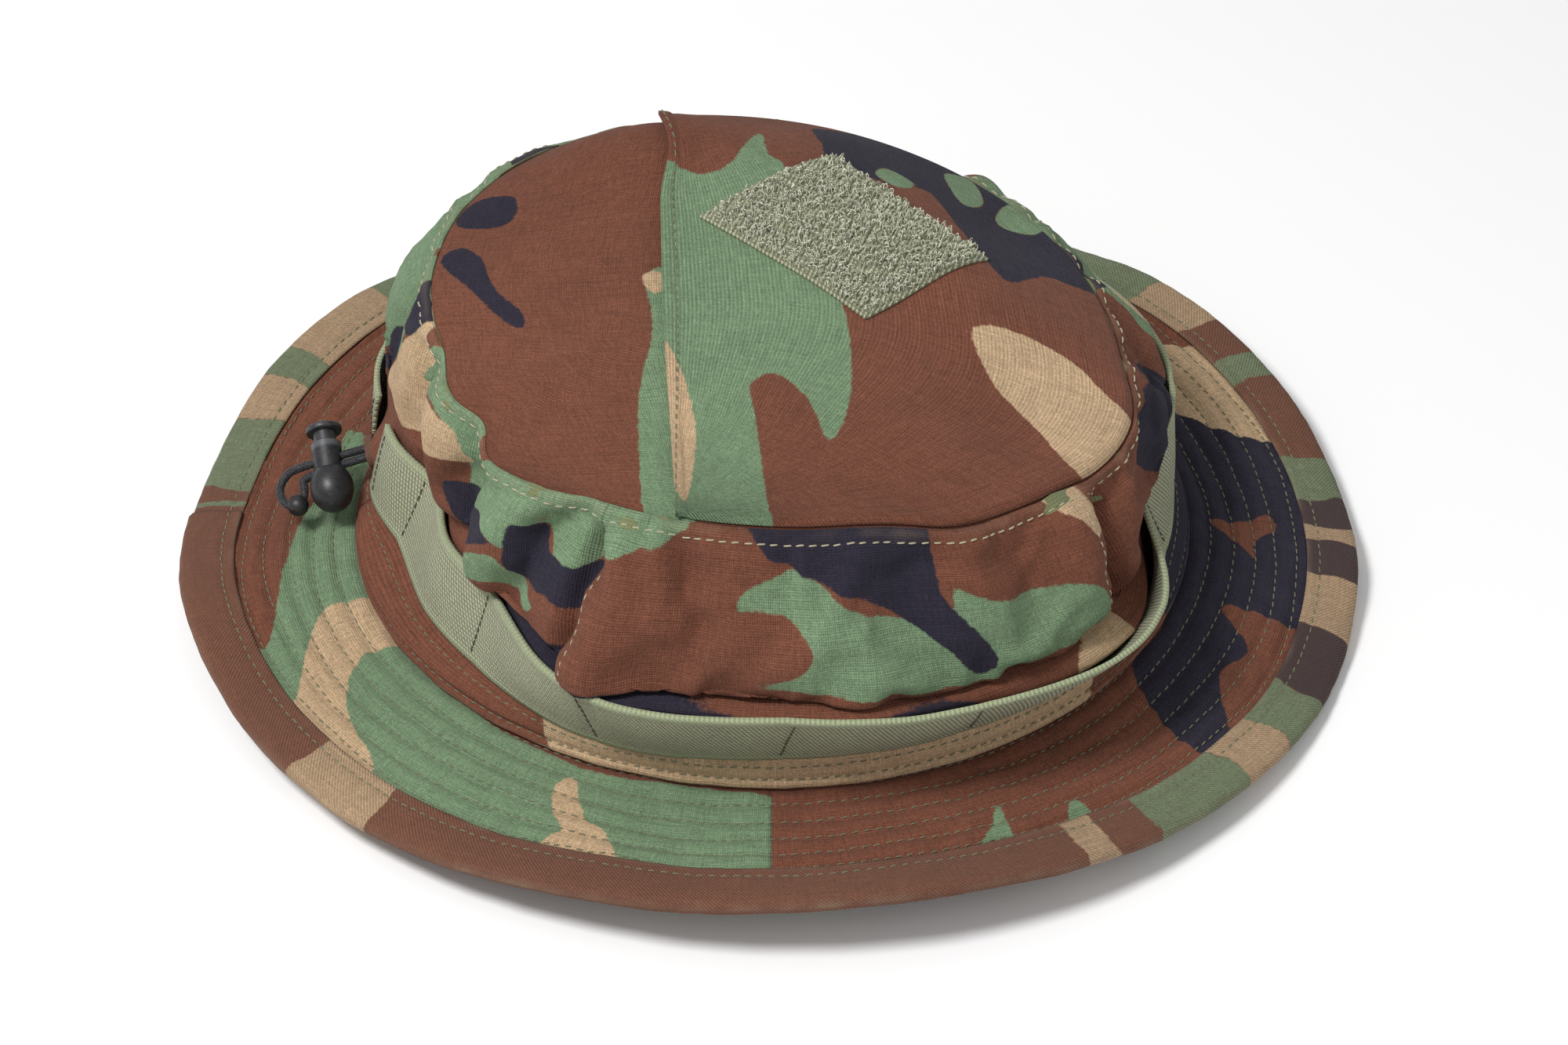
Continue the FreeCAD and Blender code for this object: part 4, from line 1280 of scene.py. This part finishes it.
def hem_sheet():
    """The stitched strip round the foot of the crown, with a rolled lower edge."""
    low = SEAM_RADIUS + BAND_LOW_OUT
    lean = np.minimum(SEAM_RADIUS + 0.2, low - 0.9)
    lines = [
        (SEAM_RADIUS + 0.2, SEAM_Z - 0.2), (SEAM_RADIUS + 2.0, SEAM_Z + 0.4),
        (SEAM_RADIUS + 2.1, SEAM_Z + 1.9), (SEAM_RADIUS + 1.0, SEAM_Z + 2.7),
        (SEAM_RADIUS + 1.2, SEAM_Z + 4.4), (lean + 0.9, SEAM_Z + 8.0),
        (lean * 0.8 + low * 0.2 - 0.2, SEAM_Z + 11.0),
    ]
    marks = np.array([around(POLAR, r, z).ravel() for r, z in lines])
    rows = np.linspace(0, len(lines) - 1, HEM_ROWS)
    points = smooth_through(np.arange(len(lines)), marks, rows).reshape(HEM_ROWS, STEPS_ROUND, 3)
    sheet = Sheet(points, closed=True)
    return sheet.lifted(0.22 * soft_noise(sheet.points, 7.0, 77))


HEM = hem_sheet()


def make_hem():
    obj = cloth("hem_cloth", HEM, RIPSTOP, CAMO, ["crown_hem_strip"])
    angles, _ = polar(HEM.points)
    drawn = drawn_print(np.stack([angles, HEM.points[..., 2]], -1), HEM_PRINT, (DEGREE, 1.0))
    print_on(obj, HEM.points, 71, drawn, near_side(angles), edge_wear(HEM, [8]))


# ---- the webbing ----

BAND_FROM, BAND_TO = -182.0, 171.0
TACKS = [-168, -137, -114, -88, -64, -36, -13, 12, 37, 62, 88, 113, 138, 160]
BAND_ROWS = 17


def band_sheet():
    angles = np.linspace(BAND_FROM, BAND_TO, 640)
    low_out, low_z, top_out, top_z = round_curve(BAND_EDGES, angles).T
    true_angle, radius = polar(seam_oval(angles))
    bounds = np.array([BAND_FROM - 3] + TACKS + [BAND_TO + 3], float)
    index = np.searchsorted(bounds, angles) - 1
    share = (angles - bounds[index]) / (bounds[index + 1] - bounds[index])
    belly = 1.1 * np.sin(math.pi * share) ** 0.6
    up = np.linspace(0, 1, BAND_ROWS)[:, None]
    arch = 0.5 + 0.8 * np.sin(math.pi * up)
    bead = 0.45 * (bump(up, 0.03, 0.035) + bump(up, 0.97, 0.035))
    r = radius + low_out + (top_out - low_out) * up + belly * arch + bead
    z = low_z + (top_z - low_z) * up
    sheet = Sheet(around(np.broadcast_to(true_angle, r.shape), r, z))
    return sheet.lifted(0.35 * soft_noise(sheet.points, 15.0, 90))


BAND = band_sheet()


def make_band():
    up = np.linspace(0, 1, BAND_ROWS)[:, None]
    edge = bump(up, 0.03, 0.035) + bump(up, 0.97, 0.035)
    obj = cloth("webbing", BAND, 1.1 + 0.7 * edge, WEBBING, ["webbing_band"])
    give_both(obj, "bead", np.broadcast_to(np.clip(edge * 1.2, 0, 1), BAND.points.shape[:2]))


def make_band_tacks():
    lines = []
    for i, tack in enumerate(TACKS + [BAND_FROM + 2, BAND_TO - 2]):
        column = (tack - BAND_FROM) / (BAND_TO - BAND_FROM) * (BAND.points.shape[1] - 1)
        rows = np.linspace(1.5, BAND_ROWS - 2.0, 40)
        columns = column + np.linspace(-1.6, 1.6, 40) * (1 if i % 2 else -1)
        lines += stitch_lines(BAND, rows, columns, pitch=2.2, fill=0.85, seed=300 + i)
    tubes("webbing_tack_rows", lines, 0.28, DARK_THREAD, replaces=["webbing_tacks"])


# ---- the inside ----

def inner_ring(name, marks, thick, material, replaces):
    """A band inside the crown, from (row of the wall, how far inside it) marks, top to bottom."""
    wall_lines = []
    index = np.arange(STEPS_ROUND)
    for row, inside in marks:
        on_wall = WALL.points[min(row, WALL.points.shape[0] - 1), index]
        angle, radius = polar(on_wall[:, :2])
        wall_lines.append(around(angle, radius - inside, on_wall[:, 2]).ravel())
    rows = np.linspace(0, len(marks) - 1, 4 * (len(marks) - 1) + 1)
    points = smooth_through(np.arange(len(marks)), np.array(wall_lines), rows)
    sheet = Sheet(points.reshape(len(rows), STEPS_ROUND, 3), closed=True)
    sheet = sheet.lifted(0.4 * soft_noise(sheet.points, 12.0, 120))
    cloth(name, sheet, thick, material, replaces)


def make_inside():
    inner_ring("sweatband_tape", [(3 * SPAN + 2, 4.5), (2 * SPAN, 6.5), (SPAN, 6.5), (0, 6.0)],
               0.9, LINING, ["sweatband"])
    inner_ring("edge_seam_tape", [(TOP_ROW - 1, 1.7), (TOP_ROW - 4, 1.9), (TOP_ROW - 8, 2.0)],
               0.6, LINING, ["crown_edge_tape"])
    row = int(1.6 * SPAN)
    columns = np.arange(column_at(-176), column_at(168), 3)
    on_wall = WALL.points[row, columns]
    angle, radius = polar(on_wall[:, :2])
    tubes("sizing_cord_braid", [around(angle, radius - 3.0, on_wall[:, 2])], 1.1, ELASTIC,
          sides=10, replaces=["sizing_cord"])


# ---- the brim's pieces ----

HALF_ROUND = STEPS_ROUND // 4
BRIM_HALVES = {"front": (HALF_ROUND, 3 * HALF_ROUND), "rear": (3 * HALF_ROUND, HALF_ROUND)}


def make_brim():
    for half, (start, stop) in BRIM_HALVES.items():
        upper_sheet = sector(BRIM, start, stop)
        obj = cloth("brim_upper_" + half, upper_sheet, 1.2, CAMO,
                    ["brim_top_" + half, "brim_interlining_" + half])
        flat = upper_sheet.points * [1, 1, 0]
        drawn = drawn_print(flat[..., :2], BRIM_PRINT[half])
        print_on(obj, flat, 81, drawn, near_side(polar(flat)[0]))
        lower_sheet = sector(UNDER, start, stop)
        obj = cloth("brim_lower_" + half, lower_sheet, 1.2, CAMO, ["brim_under_" + half])
        print_on(obj, lower_sheet.points * [1, 1, 0], 95)


BINDING_CLOTH = 0.7
BINDING_START = 176.0
BINDING_OVERLAP = 5


def binding_sheet():
    """The tape's outer face, from its lower inner edge round the brim's rim to its upper inner edge."""
    start = int(round((BINDING_START + 180.0) / 360.0 * STEPS_ROUND))
    columns = np.arange(start, start + STEPS_ROUND + BINDING_OVERLAP)
    first_row = share_to_row(binding_share())[columns % STEPS_ROUND]
    flat = brim_surface()
    normal = flat.normals()
    rows = []
    outer_steps = 15
    for way, side in ((np.linspace(1, 0, outer_steps), -1), (np.linspace(0, 1, outer_steps), 1)):
        for share in way:
            row = share * first_row
            point = flat.at(row, columns)
            up = flat.at(row, columns, normal)
            puff = 0.35 * np.sin(math.pi * share) ** 0.5 - 0.4 * bump(share, 0.74, 0.05)
            lift = BINDING_STAND + puff if side > 0 else -(BRIM_THICK + BINDING_STAND + puff)
            rows.append(point + up * lift)
        if side < 0:
            rim = flat.at(0 * columns, columns)
            up = flat.at(0 * columns, columns, normal)
            inward = flat.at(0 * columns + 3, columns) - rim
            outward = -inward / np.linalg.norm(inward, axis=1, keepdims=True)
            middle = rim - up * BRIM_THICK / 2
            for turn in np.radians([-60, -30, 0, 30, 60]):
                rows.append(middle + (outward * math.cos(turn) + up * math.sin(turn)) * BINDING_REACH)
    sheet = Sheet(np.array(rows))
    step = np.linalg.norm(np.diff(sheet.points[20], axis=0), axis=1)
    along = np.concatenate([[0], np.cumsum(step)])
    over = 0.9 * np.exp(-along / 16.0)
    pucker = 0.14 * soft_noise(sheet.points, 3.5, 130) + 0.3 * soft_noise(sheet.points, 16.0, 131)
    return sheet.lifted(pucker + over[None, :])


BINDING = binding_sheet()


def binding_print():
    """Stretches of each ink along the tape, with uneven ends."""
    x, y = BINDING.points[..., 0], BINDING.points[..., 1]
    t = np.degrees(np.arctan2(y / BRIM_HALF_WIDTH, x / BRIM_HALF_LENGTH))
    wander = 2.6 * soft_noise(BINDING.points, 9.0, 145) + 1.6 * soft_noise(BINDING.points, 22.0, 146)
    marks = {ink: np.full(t.shape, -PRINT_REACH) for ink in INKS}
    for ink, start, stop in BINDING_PRINT:
        middle, half = (start + stop) / 2, (stop - start) / 2
        away = np.abs((t + wander / RIM_DEGREE - middle + 180.0) % 360.0 - 180.0)
        marks[ink] = np.maximum(marks[ink], (half - away) * RIM_DEGREE)
    return marks, t


def make_binding():
    obj = cloth("binding_tape", BINDING, BINDING_CLOTH, CAMO_TWILL, ["brim_binding"])
    rows = BINDING.points.shape[0]
    drawn, t = binding_print()
    wear = edge_wear(BINDING, [rows // 2, rows - 1])
    print_on(obj, BINDING.points * [1, 1, 0], 140, drawn, near_side(t), wear)


# ---- the loop patch ----

# Its corners on the crown, from the rear one towards the wearer's left: x, y.
PATCH_CORNERS = [(-18, 20), (16, 46), (54, 16), (23, -14)]
PATCH_BACK = 0.9                 # thickness of its woven backing
PATCH_STEPS = 60                 # points along each side
PILE_LOOPS = 2300
PILE_RADIUS = 0.13
LOOP_STEPS = 7                   # points along one loop of the pile


def patch_sheet():
    """The patch lies on the pocket panel: rows and columns run along its sides."""
    a, b, c, d = np.array(PATCH_CORNERS, float)
    i = np.linspace(0, 1, PATCH_STEPS)[:, None, None]
    j = np.linspace(0, 1, PATCH_STEPS)[None, :, None]
    xy = (a * (1 - j) + d * j) * (1 - i) + (b * (1 - j) + c * j) * i
    z = top_height(xy) + POCKET_LIFT + POCKET_SLACK + PATCH_BACK
    return facing_up(np.concatenate([xy, z[..., None]], -1))


PATCH = patch_sheet()


def pile_loop(picker, normal):
    """One loop of the pile, somewhere on the patch."""
    edge = PATCH_STEPS - 1 - 1.5
    row, column = picker.uniform(1.5, edge), picker.uniform(1.5, edge)
    base = PATCH.at(np.array([row]), np.array([column]))[0]
    up = PATCH.at(np.array([row]), np.array([column]), normal)[0]
    turn = picker.uniform(0, 2 * math.pi)
    aside = np.array([math.cos(turn), math.sin(turn), 0.0])
    across = np.cross(up, aside)
    width, tall = picker.uniform(0.5, 1.1), picker.uniform(1.1, 2.1)
    lean = picker.uniform(-0.7, 0.7)
    line = []
    for k in range(LOOP_STEPS):
        t = k / (LOOP_STEPS - 1) * math.pi * 1.15
        out = aside * width * (1 - math.cos(t)) / 2 * 1.4
        line.append(base + out + up * (tall * math.sin(t) - 0.1) + across * lean * math.sin(t * 0.8))
    return line


def make_patch():
    obj = cloth("patch_backing", PATCH, PATCH_BACK, WEBBING, ["loop_patch"])
    give(obj, "bead", np.zeros(len(obj.data.vertices)))
    picker = random.Random(7)
    normal = PATCH.normals()
    lines = [pile_loop(picker, normal) for _ in range(PILE_LOOPS)]
    tubes("patch_pile", lines, PILE_RADIUS, PILE, sides=4)


# ---- stitching ----

THREAD_RADIUS = 0.2


def round_stitches(sheet, row, seed, **style):
    """Stitches once round a closed sheet, at one row or a row for every column."""
    columns = np.arange(0, STEPS_ROUND, 0.5)
    if np.ndim(row) == 0:
        rows = np.broadcast_to(row, columns.shape)
    else:
        rows = np.interp(columns, np.arange(len(row)), row)
    return stitch_lines(sheet, rows, columns, seed=seed, **style)


def stitch_quilting():
    lines = []
    binding = binding_share()
    for i, quilt in enumerate(QUILT_ROWS):
        wander = 0.02 * np.sin(np.radians(ROUND * (5 + i)) + i)
        row = share_to_row((quilt + wander) * binding)
        lines += round_stitches(BRIM, row, 500 + i, wander=0.2)
        lines += round_stitches(UNDER, SHARE_ROW - row, 520 + i, wander=0.2)
    tubes("quilting_thread", lines, THREAD_RADIUS, THREAD, sides=5)


def stitch_binding():
    rows, count = BINDING.points.shape[:2]
    columns = np.arange(0, count - 1, 0.5)
    lines = []
    for row in (rows - 5.0, 4.0):
        path = np.full(columns.shape, row)
        lines += stitch_lines(BINDING, path, columns, seed=540 + int(row), wander=0.25)
    tubes("binding_thread", lines, 0.22, THREAD, sides=5)


def stitch_hem():
    lines = round_stitches(HEM, 14.0, 560, wander=0.1) + round_stitches(HEM, 23.0, 561, wander=0.1)
    tubes("hem_thread", lines, THREAD_RADIUS, THREAD, sides=5)


def stitch_crown():
    """One row under the crown's edge, and one beside each join of the wall's panels."""
    lines = round_stitches(WALL, TOP_ROW - 2.6, 570, pitch=3.1, wander=0.15)
    rows = np.linspace(FOLD_ROW - 4, TOP_ROW - 3, 60)
    for angle, seed in ((-118.5, 571), (-36.5, 572), (38.0, 573), (121.0, 574)):
        lines += stitch_lines(WALL, rows, np.full(60, float(column_at(angle))), seed=seed)
    tubes("crown_thread", lines, 0.24, PALE_THREAD, sides=5)


def stitch_pocket():
    rows, count = POCKET.points.shape[:2]
    columns = np.linspace(2, count - 3, 400)
    lines = stitch_lines(POCKET, np.full(400, rows - 4.3), columns, seed=580)
    tubes("pocket_thread", lines, THREAD_RADIUS, THREAD, sides=5)


def stitch_patch():
    near, far = 1.2, PATCH_STEPS - 1 - 1.2
    lines = []
    for side in range(4):
        along = np.linspace(near, far, 120)
        fixed = np.full(120, near if side % 2 else far)
        rows, columns = (along, fixed) if side < 2 else (fixed, along)
        lines += stitch_lines(PATCH, rows, columns, pitch=2.4, seed=590 + side)
    tubes("patch_thread", lines, THREAD_RADIUS, THREAD, sides=5)


make_top()
make_pocket()
make_walls()
make_hem()
make_band()
make_band_tacks()
make_inside()
make_brim()
make_binding()
make_patch()
stitch_quilting()
stitch_binding()
stitch_hem()
stitch_crown()
stitch_pocket()
stitch_patch()
